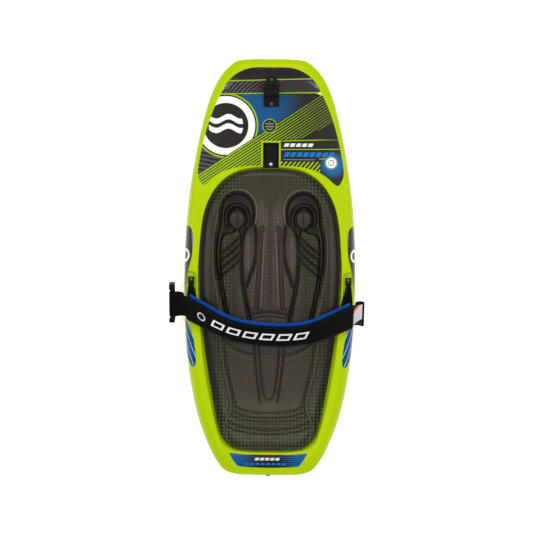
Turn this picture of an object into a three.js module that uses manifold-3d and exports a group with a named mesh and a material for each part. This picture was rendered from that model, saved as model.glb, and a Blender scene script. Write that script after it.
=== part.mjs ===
// A kneeboard with a tow-handle hook, a padded knee strap and fins that a deck dial lowers through the hull.
//
// Millimetres. +Y points to the nose, +X to the rider's right and +Z up. The origin is on the flat of the hull,
// at the middle of the board's length, so z = 0 is the floor that the board lies on.

import * as THREE from "three";
import { mergeVertices } from "three/addons/utils/BufferGeometryUtils.js";
import Module from "manifold-3d";

const wasm = await Module();
wasm.setup();

// ---------------------------------------------------------------------------------------------------------
// Driving dimensions
// ---------------------------------------------------------------------------------------------------------

const GAP = 0.3; // between pieces that touch
const WALL = 5; // the shell's wall

// Right half of the board's plan outline, from the middle of the nose to the middle of the tail.
const BOARD_OUTLINE = [
  [0, 635], [60, 634.5], [104, 629], [139, 603], [166, 566], [190, 511], [215, 420],
  [236, 315], [252, 200], [261, 60], [262, -60], [257, -200], [245, -320], [222, -437],
  [191, -528], [160, -589], [134, -620], [100, -632], [50, -634.5], [0, -635],
];
// Right half of the pad's plan outline. Each point lies inboard of the board's point of the same number.
const PAD_OUTLINE = [
  [0, 304], [50, 302], [95, 293], [130, 275], [158, 250], [180, 218], [197, 178],
  [207, 130], [213, 60], [215, 0], [213, -70], [207, -150], [197, -240], [183, -330],
  [167, -420], [154, -480], [138, -522], [108, -548], [60, -556], [0, -557],
];

// Side view: heights of the deck's crest and of the hull's flat.
const DECK_HEIGHT = 100;
const DECK_NOSE_RISE = 24;
const DECK_TAIL_DROP = 36;
const DECK_FLAT_TO = 150; // the crest is level between plus and minus this
const HULL_NOSE_KICK = 90;
const HULL_NOSE_FROM = 120;
const HULL_TAIL_KICK = 28;
const HULL_TAIL_FROM = -380;
const HALF_LENGTH = 635;
const EDGE_SHARE = 0.45; // the widest line's height, as a share of the way from hull to deck

// Cross-section: the rounding of the rail, and the recess that the pad lies in.
const DECK_ROLL = 58;
const DECK_ROLL_SHARE = 0.72; // of the band between outline and pad, where that is narrow
const HULL_ROLL = 62;
const ROLL_POWER = 2.2;
const RECESS_DEPTH = 12;
const LIP = 6;
const REAR_LIP = 22;

// Pad
const PAD_EDGE = 9; // its thickness at the edge
const PAD_THICKNESS = 26;
const PAD_CROWN_AT = 34; // how far inboard it reaches full thickness

// Dial and its tray, in the deck ahead of the pad
const DIAL_Y = 362;
const DIAL_RADIUS = 16;
const TRAY_HALF_WIDTH = 21.2;
const TRAY_FRONT = 379;
const TRAY_REAR = 309;
const TRAY_FLOOR = 90; // height of its floor's upper face
const TRAY_WALL = 3;
const STRIP_HALF_WIDTH = 15.5;
const STRIP_FRONT = 344;
const STRIP_BASE = 97;
const COVER_SCREW_Y = 317;

// Pinion and rack. Half a turn of the dial draws the rod forward by TRAVEL and drops the fins by FIN_DROP.
const GEAR_MODULE = 1.25;
const PINION_TEETH = 18;
const PITCH_RADIUS = (GEAR_MODULE * PINION_TEETH) / 2;
const TOOTH_PITCH = Math.PI * GEAR_MODULE;
const PRESSURE_ANGLE = THREE.MathUtils.degToRad(20);
const ADDENDUM = 1.1;
const DEDENDUM = 1.5;
const BACKLASH = 0.3;
const TRAVEL = Math.PI * PITCH_RADIUS;
const RACK_FRONT_TEETH = 3; // ahead of the tooth that is level with the pinion's middle
const RACK_REAR_TEETH = 12;
const ROD_BASE = 58;
const ROD_HEIGHT = 8;
const ROD_INNER = 14.2; // its x, clear of the rack's teeth
const ROD_OUTER = 20.2;
const CHANNEL = [PITCH_RADIUS - ADDENDUM - GAP, ROD_OUTER + GAP, ROD_BASE - GAP, ROD_BASE + ROD_HEIGHT + GAP];
const CASE_INNER = -14;
const CASE_OUTER = 22;
const CASE_REAR = 346;
const CASE_FRONT = 414;
const CASE_BASE = 50;

// Fins, their box and the plate that closes it
const FIN_DROP = 30;
const FIN_X = 34;
const FIN_THICKNESS = 5;
const FIN_PROFILE = [
  [-62, 52], [-62, 34], [-72, 18], [-92, 7], [-120, 2], [-200, 2], [-208, 9], [-208, 52],
];
const FIN_PIN_YS = [-102, -164];
const FIN_PIN_Z = 44;
const FIN_PIN_RADIUS = 3;
const CAM_BASE = 8;
const CAM_MARGIN = 12;
const BOX_HALF_WIDTH = 49; // inside
const BOX_FRONT = -50;
const BOX_REAR = -214;
const BOX_TOP = 71;
const BOX_WALL = 3;
const GUIDE_X = 40;
const PLATE_MARGIN = 15; // beyond the box's inside
const PLATE_BASE = 0.5;
const PLATE_THICKNESS = 4;
const BOSS = 12; // the shell's thickness round the plate
const BOSS_MARGIN = 23;

// Strap anchors, in pockets on the rails
const ANCHOR_X = 239;
const POCKET_FLOOR = 82;
const POCKET_INNER = 222;
const POCKET_FRONT = -10;
const POCKET_REAR = -112;
const ANCHOR_FRONT = -26;
const ANCHOR_HALF_WIDTH = 9;
const ANCHOR_SCREW_Y = -33;
const SWING_Y = -46; // the pins that the strap swings about
const SWING_Z = 92;
const SWING_PIN_RADIUS = 2.2;

// Tow hook, square to the sloping nose deck
const HOOK_Y = 520; // its lip
const HOOK_SLOPE = (2 * DECK_NOSE_RISE * (HOOK_Y + 15 - DECK_FLAT_TO)) / (HALF_LENGTH - DECK_FLAT_TO) ** 2;
const HOOK_LIFT = 1.9; // over the film and the deck's slight curve
const HOOK_TILT = THREE.MathUtils.radToDeg(Math.atan(HOOK_SLOPE));
const THROAT_RADIUS = 14;
const HOOK_SCREWS = [51, -22]; // distances ahead of the lip

// Strap: webbing between a neoprene cover outside and a foam liner inside
const STRAP_SPAN = 250; // half of it
const STRAP_RISE = 95;
const STRAP_Y = -128;
const STRAP_SKEW = -0.046;
const STRAP_Z = 131;
const WEBBING_HALF_WIDTH = 38;
const WEBBING = 2.4;
const COVER = 4;
const COVER_HALF_WIDTH = 44;
const LINER = 11;
const LINER_HALF_WIDTH = 46;
const LAYER_GAP = 0.8; // the twisted layers are flat between stations
const RING_BAR = 7; // the bar inside the webbing's loop is this square
const RING_DEPTH = 16; // of its cheeks and its lower bar
const RING_LENGTH = 122;
const RING_HEIGHT = 42;
const RING_AT = [-296, -20]; // its bar, in the strap's own coordinates
const LOOP_RADIUS = 6.6;

// ---------------------------------------------------------------------------------------------------------
// Materials
// ---------------------------------------------------------------------------------------------------------

const plastic = (color, roughness) => new THREE.MeshStandardMaterial({ color, roughness, metalness: 0 });
const metal = (color, roughness) => new THREE.MeshStandardMaterial({ color, roughness, metalness: 1 });
const LIME = plastic(0xb4d400, 0.4);
const BLACK_FILM = plastic(0x2b2624, 0.2);
const BLUE_FILM = plastic(0x0060b0, 0.2);
const EVA = plastic(0x3a3430, 0.85);
const BLACK_NYLON = plastic(0x1a1715, 0.5);
const WEB = plastic(0x14110f, 0.9);
const BLUE_FOAM = plastic(0x0a3fa0, 0.8);
const PALE_TAG = plastic(0xc8c8cc, 0.7);
const CREAM_FOAM = plastic(0xe8dcb0, 0.95);
const RUBBER = plastic(0x101010, 0.7);
const STEEL = metal(0xb8b8ba, 0.3);
const BRASS = metal(0xb08d3c, 0.35);

// ---------------------------------------------------------------------------------------------------------
// Solids: three.js geometries turned into manifold-3d solids, and back
// ---------------------------------------------------------------------------------------------------------

const vec = (x, y, z) => new THREE.Vector3(x, y, z);

// A closed geometry as a solid. Vertices are merged, and faces that merging has flattened are dropped.
function solid(geometry) {
  const bare = geometry.index ? geometry.toNonIndexed() : geometry.clone();
  for (const name of Object.keys(bare.attributes)) {
    if (name !== "position") bare.deleteAttribute(name);
  }
  const merged = mergeVertices(bare, 1e-3);
  const index = merged.index.array;
  const kept = [];
  for (let i = 0; i < index.length; i += 3) {
    const [a, b, c] = index.slice(i, i + 3);
    if (a !== b && b !== c && c !== a) kept.push(a, b, c);
  }
  const vertProperties = merged.attributes.position.array;
  return new wasm.Manifold(new wasm.Mesh({ numProp: 3, vertProperties, triVerts: new Uint32Array(kept) }));
}

function geometryOf(shape) {
  const { numProp, numVert, vertProperties, triVerts } = shape.getMesh();
  const positions = new Float32Array(numVert * 3);
  for (let i = 0; i < numVert; i++) positions.set(vertProperties.subarray(i * numProp, i * numProp + 3), i * 3);
  const geometry = new THREE.BufferGeometry().setAttribute("position", new THREE.BufferAttribute(positions, 3));
  geometry.setIndex(new THREE.BufferAttribute(triVerts, 1));
  geometry.computeVertexNormals();
  return geometry;
}

const union = (...shapes) => shapes.reduce((all, next) => all.add(next));
const cut = (shape, ...tools) => tools.reduce((left, tool) => left.subtract(tool), shape);

function box(x0, x1, y0, y1, z0, z1) {
  const geometry = new THREE.BoxGeometry(x1 - x0, y1 - y0, z1 - z0);
  return solid(geometry.translate((x0 + x1) / 2, (y0 + y1) / 2, (z0 + z1) / 2));
}

// An upright cylinder.
function post(x, y, radius, z0, z1, sides = 16) {
  const geometry = new THREE.CylinderGeometry(radius, radius, z1 - z0, sides).rotateX(Math.PI / 2);
  return solid(geometry.translate(x, y, (z0 + z1) / 2));
}

// A cylinder along X.
function rod(x0, x1, y, z, radius, sides = 16) {
  const geometry = new THREE.CylinderGeometry(radius, radius, x1 - x0, sides).rotateZ(Math.PI / 2);
  return solid(geometry.translate((x0 + x1) / 2, y, z));
}

const shapeOf = (points) => new THREE.Shape(points.map(([a, b]) => new THREE.Vector2(a, b)));

// A plan outline, extruded upwards from z0 to z1.
function upright(points, z0, z1) {
  const geometry = new THREE.ExtrudeGeometry(shapeOf(points), { depth: z1 - z0, bevelEnabled: false });
  return solid(geometry.translate(0, 0, z0));
}

// A side outline of [y, z] points, extruded along X from x0 to x1.
function sideways(points, x0, x1) {
  const geometry = new THREE.ExtrudeGeometry(shapeOf(points), { depth: x1 - x0, bevelEnabled: false });
  geometry.applyMatrix4(new THREE.Matrix4().makeBasis(vec(0, 1, 0), vec(0, 0, 1), vec(1, 0, 0)));
  return solid(geometry.translate(x0, 0, 0));
}

// Points of an arc round [a, b], in degrees.
function arc(a, b, radius, from, to, steps) {
  return Array.from({ length: steps + 1 }, (_, i) => {
    const angle = THREE.MathUtils.degToRad(from + ((to - from) * i) / steps);
    return [a + radius * Math.cos(angle), b + radius * Math.sin(angle)];
  });
}

// The solid between two grids of points, upper[row][column] and lower[row][column], with walls round its rim.
function slab(upper, lower) {
  const rows = upper.length;
  const columns = upper[0].length;
  const positions = [];
  const quad = (a, b, c, d) => {
    for (const p of [a, b, c, a, c, d]) positions.push(p.x, p.y, p.z);
  };
  for (let i = 0; i + 1 < rows; i++) {
    for (let j = 0; j + 1 < columns; j++) {
      quad(upper[i][j], upper[i][j + 1], upper[i + 1][j + 1], upper[i + 1][j]);
      quad(lower[i][j], lower[i + 1][j], lower[i + 1][j + 1], lower[i][j + 1]);
    }
    const last = columns - 1;
    quad(upper[i][0], upper[i + 1][0], lower[i + 1][0], lower[i][0]);
    quad(upper[i][last], lower[i][last], lower[i + 1][last], upper[i + 1][last]);
  }
  for (let j = 0; j + 1 < columns; j++) {
    const last = rows - 1;
    quad(upper[0][j], lower[0][j], lower[0][j + 1], upper[0][j + 1]);
    quad(upper[last][j], upper[last][j + 1], lower[last][j + 1], lower[last][j]);
  }
  const geometry = new THREE.BufferGeometry();
  geometry.setAttribute("position", new THREE.Float32BufferAttribute(positions, 3));
  const made = solid(geometry);
  if (made.volume() > 0) return made;
  for (let i = 0; i < positions.length; i += 9) {
    const swapped = positions.slice(i + 3, i + 6);
    positions.splice(i + 3, 3, ...positions.slice(i + 6, i + 9));
    positions.splice(i + 6, 3, ...swapped);
  }
  geometry.setAttribute("position", new THREE.Float32BufferAttribute(positions, 3));
  return solid(geometry);
}

const object = new THREE.Group();

function piece(name, shape, material, parent = object) {
  const mesh = new THREE.Mesh(geometryOf(shape), material);
  mesh.name = name;
  parent.add(mesh);
  return mesh;
}

// ---------------------------------------------------------------------------------------------------------
// The board's surface
// ---------------------------------------------------------------------------------------------------------

const LAST_KNOT = BOARD_OUTLINE.length - 1; // knots 0 to LAST_KNOT run down the right side

// A closed smooth curve through a half outline and its mirror image. Its parameter is counted in knots.
function closedCurve(half) {
  const left = half.slice(1, -1).reverse().map(([x, y]) => [-x, y]);
  const points = [...half, ...left].map(([x, y]) => vec(x, y, 0));
  const curve = new THREE.CatmullRomCurve3(points, true, "centripetal");
  return (knot) => curve.getPoint((((knot / points.length) % 1) + 1) % 1);
}
const boardEdge = closedCurve(BOARD_OUTLINE);
const padEdge = closedCurve(PAD_OUTLINE);
const KNOTS = 2 * LAST_KNOT;

const ramp = (value, from, to) => Math.max(0, (value - from) / (to - from));
const smooth = (t) => {
  const s = Math.min(1, Math.max(0, t));
  return s * s * (3 - 2 * s);
};

function deckHeight(y) {
  const rise = DECK_NOSE_RISE * ramp(y, DECK_FLAT_TO, HALF_LENGTH) ** 2;
  const drop = DECK_TAIL_DROP * ramp(y, -DECK_FLAT_TO, -HALF_LENGTH) ** 2;
  return DECK_HEIGHT + rise - drop;
}

function hullHeight(y) {
  const nose = HULL_NOSE_KICK * ramp(y, HULL_NOSE_FROM, HALF_LENGTH) ** 2;
  const tail = HULL_TAIL_KICK * ramp(y, HULL_TAIL_FROM, -HALF_LENGTH) ** 2;
  return nose + tail;
}

const edgeHeight = (y) => hullHeight(y) + EDGE_SHARE * (deckHeight(y) - hullHeight(y));

// How far the rail has rounded over, from 0 at the widest line to 1, at a distance inboard of it.
function roll(distance, width) {
  const t = Math.min(1, Math.max(0, distance / width));
  return (1 - (1 - t) ** ROLL_POWER) ** (1 / ROLL_POWER);
}

// The strip of deck between the board's edge and the pad's, at a knot.
function band(knot) {
  const outer = boardEdge(knot);
  const inner = padEdge(knot);
  const length = outer.distanceTo(inner);
  const rear = smooth(ramp(-inner.y, 120, 330)) * smooth(ramp(Math.abs(inner.x), 90, 150));
  return { outer, inner, length, lip: LIP + (REAR_LIP - LIP) * rear, roll: Math.min(DECK_ROLL, DECK_ROLL_SHARE * length) };
}

// A point of the deck at a knot, so far inboard of the edge. Beyond the pad's edge it is on the recess's floor.
function deckPoint(knot, distance) {
  const { outer, inner, length, lip, roll: width } = band(knot);
  const p = outer.clone().lerp(inner, distance / length);
  const edge = edgeHeight(p.y);
  const recess = RECESS_DEPTH * smooth((distance - length + lip) / lip);
  p.z = edge + (deckHeight(p.y) - edge) * roll(distance, width) - recess;
  return p;
}

// The line down the middle that the rings of the board and the pad close on.
const SPINE_NOSE = 215;
const SPINE_TAIL = -470;
const spine = (knot) => vec(0, THREE.MathUtils.clamp(padEdge(knot).y, SPINE_TAIL, SPINE_NOSE), 0);
const recessFloor = (y) => deckHeight(y) - RECESS_DEPTH;

const ROLL_STATIONS = [0, 0.05, 0.18, 0.4, 0.68, 1];
const HULL_STATIONS = [0.08, 0.3, 0.62, 1];
const HULL_SPANS = [0.33, 0.67, 1];

// One ring of the board's skin, from the spine of the deck over the rail to the spine of the hull, moved
// inwards by inset. The lip of the recess faces inboard, so its inset moves it outboard.
function boardRing(knot, inset) {
  const { outer, inner, length, lip, roll: width } = band(knot);
  const middle = spine(knot);
  const inboard = middle.clone().sub(outer).setZ(0).normalize();
  const lipStart = length - lip;
  const ring = [];
  const add = (point, share, side) => {
    point.addScaledVector(inboard, share * inset);
    ring.push(point.setZ(point.z - side * inset));
  };
  for (const t of [1, 0.5]) {
    const p = inner.clone().lerp(middle, t);
    add(p.setZ(recessFloor(p.y)), 0, 1);
  }
  for (const t of [1, 0.5, 0]) add(deckPoint(knot, lipStart + t * lip), -1, 1);
  add(deckPoint(knot, (width + lipStart) / 2), -0.5, 1);
  for (const t of [...ROLL_STATIONS].reverse()) add(deckPoint(knot, t * width), 1 - t, t ? 1 : 0);
  for (const t of HULL_STATIONS) {
    const p = outer.clone().addScaledVector(inboard, t * HULL_ROLL);
    const edge = edgeHeight(p.y);
    add(p.setZ(edge - (edge - hullHeight(p.y)) * roll(t, 1)), 1 - t, -1);
  }
  const from = ring.at(-1).clone();
  for (const t of HULL_SPANS) {
    const p = from.clone().lerp(middle, t);
    add(p.setZ(hullHeight(p.y)), 0, -1);
  }
  return ring;
}

// The board's body as one closed solid, samples being the steps between two knots.
function boardBody(inset, samples) {
  const rings = [];
  for (let i = 0; i < KNOTS * samples; i++) rings.push(boardRing(i / samples, inset));
  const positions = [];
  const count = rings.length;
  for (let i = 0; i < count; i++) {
    const a = rings[i];
    const b = rings[(i + 1) % count];
    for (let j = 0; j + 1 < a.length; j++) {
      for (const p of [a[j], b[j + 1], a[j + 1], a[j], b[j], b[j + 1]]) positions.push(p.x, p.y, p.z);
    }
  }
  const geometry = new THREE.BufferGeometry();
  geometry.setAttribute("position", new THREE.Float32BufferAttribute(positions, 3));
  return solid(geometry);
}

// ---------------------------------------------------------------------------------------------------------
// Shell, foam core and pad
// ---------------------------------------------------------------------------------------------------------

const outerBody = boardBody(0, 2);
const mirrored = (points) => points.map(([x, y]) => [-x, y]).reverse();

// The rod's way from one y to another, grown by margin.
function channel(y0, y1, margin) {
  const [x0, x1, z0, z1] = CHANNEL;
  return box(x0 - margin, x1 + margin, y0, y1, z0 - margin, z1 + margin);
}

// Room inside the shell for the dial's tray and case, the rod and the fin box, each grown by gap.
function mechanismRoom(gap) {
  const tray = box(-TRAY_HALF_WIDTH - TRAY_WALL - gap, TRAY_HALF_WIDTH + TRAY_WALL + gap,
    TRAY_REAR - TRAY_WALL - gap, TRAY_FRONT + TRAY_WALL + gap, TRAY_FLOOR - TRAY_WALL - gap, 140);
  const gears = box(CASE_INNER - TRAY_WALL - gap, CASE_OUTER + TRAY_WALL + gap,
    CASE_REAR - TRAY_WALL - gap, CASE_FRONT + TRAY_WALL + gap, CASE_BASE - 6 - gap, TRAY_FLOOR + gap);
  const conduit = channel(BOX_FRONT, CASE_REAR, 3 + gap);
  const fins = box(-BOX_HALF_WIDTH - BOX_WALL - gap, BOX_HALF_WIDTH + BOX_WALL + gap,
    BOX_REAR - BOX_WALL - gap, BOX_FRONT + BOX_WALL + gap, -5, BOX_TOP + BOX_WALL + gap);
  return union(tray, gears, conduit, fins);
}

// The plate's rebate, or with other numbers the boss above it.
const plateBox = (margin, z0, z1) =>
  box(-BOX_HALF_WIDTH - margin, BOX_HALF_WIDTH + margin, BOX_REAR - margin, BOX_FRONT + margin, z0, z1);

// A pocket on one rail, round-cornered and open outboard, grown by margin inboard and downwards.
function pocket(side, margin) {
  const inner = POCKET_INNER - margin;
  const front = POCKET_FRONT + margin;
  const rear = POCKET_REAR - margin;
  const outline = [[inner, rear], [290, rear], [290, front], ...arc(inner + 14, front - 14, 14, 90, 180, 4)];
  const made = upright(outline, POCKET_FLOOR - margin, 140);
  return side > 0 ? made : made.mirror([1, 0, 0]);
}

const hookFrame = (shape) =>
  shape.rotate([HOOK_TILT, 0, 0]).translate([0, HOOK_Y, deckHeight(HOOK_Y) + HOOK_LIFT]);
const insertHoles = (radius, depth) => union(
  ...HOOK_SCREWS.map((s) => hookFrame(post(0, s, radius, -depth, 12))),
  ...[-1, 1].map((side) => post(side * ANCHOR_X, ANCHOR_SCREW_Y, radius, POCKET_FLOOR - depth, POCKET_FLOOR + 2)),
);
const TAIL_EDGE = edgeHeight(-HALF_LENGTH);
const fillHole = (radius, front) =>
  solid(new THREE.CylinderGeometry(radius, radius, front + 645, 20).translate(0, (front - 645) / 2, TAIL_EDGE));

const plateScrews = [];
for (const side of [-1, 1]) {
  for (const share of [0, 0.5, 1]) {
    const reach = PLATE_MARGIN - 7;
    const y = BOX_FRONT + reach + share * (BOX_REAR - BOX_FRONT - 2 * reach);
    plateScrews.push([side * (BOX_HALF_WIDTH + reach + 1), y]);
  }
}

function shell() {
  const cavity = cut(boardBody(WALL, 1), plateBox(BOSS_MARGIN, -1, BOSS), pocket(-1, WALL), pocket(1, WALL));
  const holes = plateScrews.map(([x, y]) => post(x, y, 2.3, 0, BOSS - 1, 12));
  return cut(outerBody, cavity, mechanismRoom(GAP), plateBox(PLATE_MARGIN + GAP, -5, PLATE_BASE + PLATE_THICKNESS + GAP),
    pocket(-1, 0), pocket(1, 0), insertHoles(4.8, 16), fillHole(4.4, -620), ...holes);
}

function foamCore() {
  const clear = 2 * GAP;
  return cut(boardBody(WALL + clear, 1), plateBox(BOSS_MARGIN + clear, -1, BOSS + clear), mechanismRoom(clear),
    pocket(-1, WALL + clear), pocket(1, WALL + clear), insertHoles(5.6, 20));
}

function fillPlug() {
  const plug = new THREE.LatheGeometry([[0, 0], [4, 0], [4, 4.8], [6.5, 4.8], [6.5, 6], [0, 6.6]]
    .map(([r, h]) => new THREE.Vector2(r, h)), 20);
  return solid(plug.rotateX(Math.PI)).translate([0, -HALF_LENGTH + 4.4, TAIL_EDGE]);
}

piece("shell", shell(), LIME);
piece("foam_core", foamCore(), CREAM_FOAM);
piece("fill_plug", fillPlug(), RUBBER);

// Relief of the pad. Each term is a share from 0 to 1, wells and channels going down and ridges up.
const bump = (distance, width) => Math.exp(-((distance / width) ** 2));

function segmentDistance(x, y, [ax, ay], [bx, by]) {
  const t = Math.min(1, Math.max(0, ((x - ax) * (bx - ax) + (y - ay) * (by - ay)) / ((bx - ax) ** 2 + (by - ay) ** 2)));
  return Math.hypot(x - ax - t * (bx - ax), y - ay - t * (by - ay));
}

const padLine = Array.from({ length: KNOTS * 2 }, (_, i) => padEdge(i / 2));
// Distance inboard of the pad's edge, and 0 outside it.
function padEdgeDistance(x, y) {
  const pairs = padLine.map((p, i) => [p, padLine[(i + 1) % padLine.length]]);
  const crossings = pairs.filter(([a, b]) =>
    (a.y > y) !== (b.y > y) && x < a.x + ((b.x - a.x) * (y - a.y)) / (b.y - a.y));
  const nearest = Math.min(...pairs.map(([a, b]) => segmentDistance(x, y, [a.x, a.y], [b.x, b.y])));
  return crossings.length % 2 ? nearest : 0;
}

function padHeight(x, y) {
  const across = Math.abs(x);
  const crown = roll(padEdgeDistance(x, y), PAD_CROWN_AT);
  const well = bump(Math.hypot((across - 100) / 1, (y - 160) / 1.15), 58);
  const shin = bump(across - 104, 34) * smooth(ramp(-y, -130, -60)) * (1 - smooth(ramp(-y, 120, 230)));
  const middle = bump(across, 26) * smooth(ramp(240 - y, 0, 80)) * (1 - smooth(ramp(-y, 380, 460)));
  const seat = bump(Math.hypot(x / 1.5, (y + 330) / 1.3), 95);
  const height = PAD_EDGE + (PAD_THICKNESS - PAD_EDGE) * crown - crown * (13 * well + 7 * shin + 4 * seat - 3 * middle);
  return recessFloor(y) + height;
}

function kneePad() {
  const grid = (level) => {
    const rows = [];
    for (let i = 0; i <= 46; i++) {
      const row = [];
      for (let j = 0; j <= 24; j++) {
        const x = -216 + j * 18;
        const y = -560 + i * 18.9;
        row.push(vec(x, y, level(x, y)));
      }
      rows.push(row);
    }
    return rows;
  };
  const field = slab(grid(padHeight), grid(() => 40));
  const outline = padLine.map((p) => [p.x * 0.997, p.y * 0.9985]).reverse();
  return cut(field.intersect(upright(outline, 30, 200)), boardBody(-0.5, 2));
}
piece("knee_pad", kneePad(), EVA);

// ---------------------------------------------------------------------------------------------------------
// Graphic films, on the deck and on the rails
// ---------------------------------------------------------------------------------------------------------

const NOSE_FILM = [
  [60, 607], [90, 596], [118, 579], [139, 554], [157, 520], [176, 478], [191, 435], [201, 400],
  [213, 350], [221, 296], [221, 280], [205, 252], [196, 254], [181, 274], [154, 294], [119, 309], [60, 317],
];
const TAIL_FILM = [[60, -568], [118, -566], [94, -605], [60, -608]];
const FRONT_FILM = [[244, 124], [235, 110], [234, 70], [237, 35], [245, 7], [251, -20], [255, -90], [275, -90], [275, 124]];
const REAR_FILM = [
  [250, -160], [237, -185], [227, -230], [221, -275], [222, -290], [232, -301], [243, -290], [275, -262], [275, -160],
];
const filmBody = cut(boardBody(-0.8, 2), boardBody(-0.3, 2));

const film = (outline, base) => filmBody.intersect(upright(outline, base, 160));
const bothSides = (half) => [...half, ...mirrored(half)];

function noseFilm() {
  const screws = HOOK_SCREWS.map((s) => hookFrame(post(0, s, 6, -10, 10)));
  const frame = box(-TRAY_HALF_WIDTH - 8, TRAY_HALF_WIDTH + 8, 300, TRAY_FRONT + 8, 60, 160);
  return cut(film(bothSides(NOSE_FILM), 96), frame, ...screws);
}

piece("nose_graphic", noseFilm(), BLACK_FILM);
piece("tail_graphic", film(bothSides(TAIL_FILM), 30), BLACK_FILM);
for (const [name, side] of [["left", -1], ["right", 1]]) {
  const placed = (outline) => (side > 0 ? outline : mirrored(outline));
  piece(`front_graphic_${name}`, cut(film(placed(FRONT_FILM), 47), pocket(side, 1)), BLACK_FILM);
  piece(`rear_graphic_${name}`, film(placed(REAR_FILM), 47), BLUE_FILM);
}

// ---------------------------------------------------------------------------------------------------------
// Tow hook
// ---------------------------------------------------------------------------------------------------------

function towHook() {
  const throat = arc(10, 7 + THROAT_RADIUS, THROAT_RADIUS, 112, -90, 12);
  const side = [
    [-30, 0], [60, 0], [60, 5], [54, 12], [45, 22], [36, 33], [27, 41], [16, 45], [5, 45.5], [-2, 43], [-4, 39], [-2, 35.5],
    ...throat, [-8, 6.4], [-30, 5.4],
  ];
  const half = [[-30, 23], [-6, 24], [12, 23], [30, 20], [48, 17], [56, 12], [60, 5]];
  const plan = [...half.map(([s, w]) => [-w, s]), ...half.map(([s, w]) => [w, s]).reverse()];
  const body = sideways(side, -30, 30).intersect(upright(plan, -5, 60));
  const [front, rear] = HOOK_SCREWS;
  const holes = [post(0, front, 5, 6, 60), post(0, front, 2.6, -5, 20), post(0, rear, 2.6, -5, 20)];
  return hookFrame(cut(body, ...holes));
}
piece("tow_hook", towHook(), BLACK_NYLON);

const screw = (x, y, z, headRadius, headHeight, shankRadius, length) => cut(
  union(post(x, y, headRadius, z, z + headHeight), post(x, y, shankRadius, z - length, z + 0.1, 12)),
  post(x, y, headRadius * 0.45, z + headHeight * 0.4, z + 20, 6),
);
const insert = (x, y, z0, z1) => cut(post(x, y, 4.5, z0, z1), post(x, y, 2.6, z0 - 1, z1 + 1, 12));

HOOK_SCREWS.forEach((s, i) => {
  const seat = i ? 6 : 6.3;
  piece(["hook_screw_front", "hook_screw_rear"][i], hookFrame(screw(0, s, seat, 4.4, 3.2, 2.3, 19)), STEEL);
  piece(["hook_insert_front", "hook_insert_rear"][i], hookFrame(insert(0, s, -15, -1.6)), BRASS);
});

// ---------------------------------------------------------------------------------------------------------
// Dial, tray and gear case
// ---------------------------------------------------------------------------------------------------------

function dialTray() {
  const rear = TRAY_REAR - TRAY_WALL;
  const front = TRAY_FRONT + TRAY_WALL;
  const base = TRAY_FLOOR - TRAY_WALL;
  const side = [[rear, base], [front, base], [front, deckHeight(front) + 0.6], [rear, deckHeight(rear) + 0.6]];
  const tray = cut(
    sideways(side, -TRAY_HALF_WIDTH - TRAY_WALL, TRAY_HALF_WIDTH + TRAY_WALL),
    box(-TRAY_HALF_WIDTH, TRAY_HALF_WIDTH, TRAY_REAR, TRAY_FRONT, TRAY_FLOOR, 140),
  );
  const gears = cut(
    box(CASE_INNER - TRAY_WALL, CASE_OUTER + TRAY_WALL, CASE_REAR - TRAY_WALL, CASE_FRONT + TRAY_WALL,
      CASE_BASE, TRAY_FLOOR),
    box(CASE_INNER, CASE_OUTER, CASE_REAR, CASE_FRONT, CASE_BASE - 1, base),
  );
  const slot = channel(CASE_REAR - 10, CASE_REAR + 1, 0);
  const stud = post(0, COVER_SCREW_Y, 5.5, TRAY_FLOOR - 0.1, STRIP_BASE - GAP);
  return cut(union(tray, gears, stud), slot, post(0, DIAL_Y, 5.5, 40, 120), post(0, COVER_SCREW_Y, 2.1, TRAY_FLOOR, 120, 12));
}

function caseFloor() {
  const floor = box(CASE_INNER - TRAY_WALL, CASE_OUTER + TRAY_WALL, CASE_REAR - TRAY_WALL, CASE_FRONT + TRAY_WALL,
    CASE_BASE - 5.5, CASE_BASE - GAP);
  return cut(floor, post(0, DIAL_Y, 5.3, CASE_BASE - 3.5, CASE_BASE + 1));
}

function dial() {
  const disc = post(0, 0, DIAL_RADIUS, TRAY_FLOOR + GAP, 97.5, 36);
  const rib = box(-DIAL_RADIUS + 1.5, DIAL_RADIUS - 1.5, -3, 3, 97.4, 103.5).rotate([0, 0, 30]);
  const socket = post(0, 0, 5.2 + GAP, 80, 96, 6);
  const ringRoom = post(0, 0, 8, 80, TRAY_FLOOR + 3.5);
  return cut(union(disc, rib), socket, ringRoom).translate([0, DIAL_Y, 0]);
}

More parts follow.
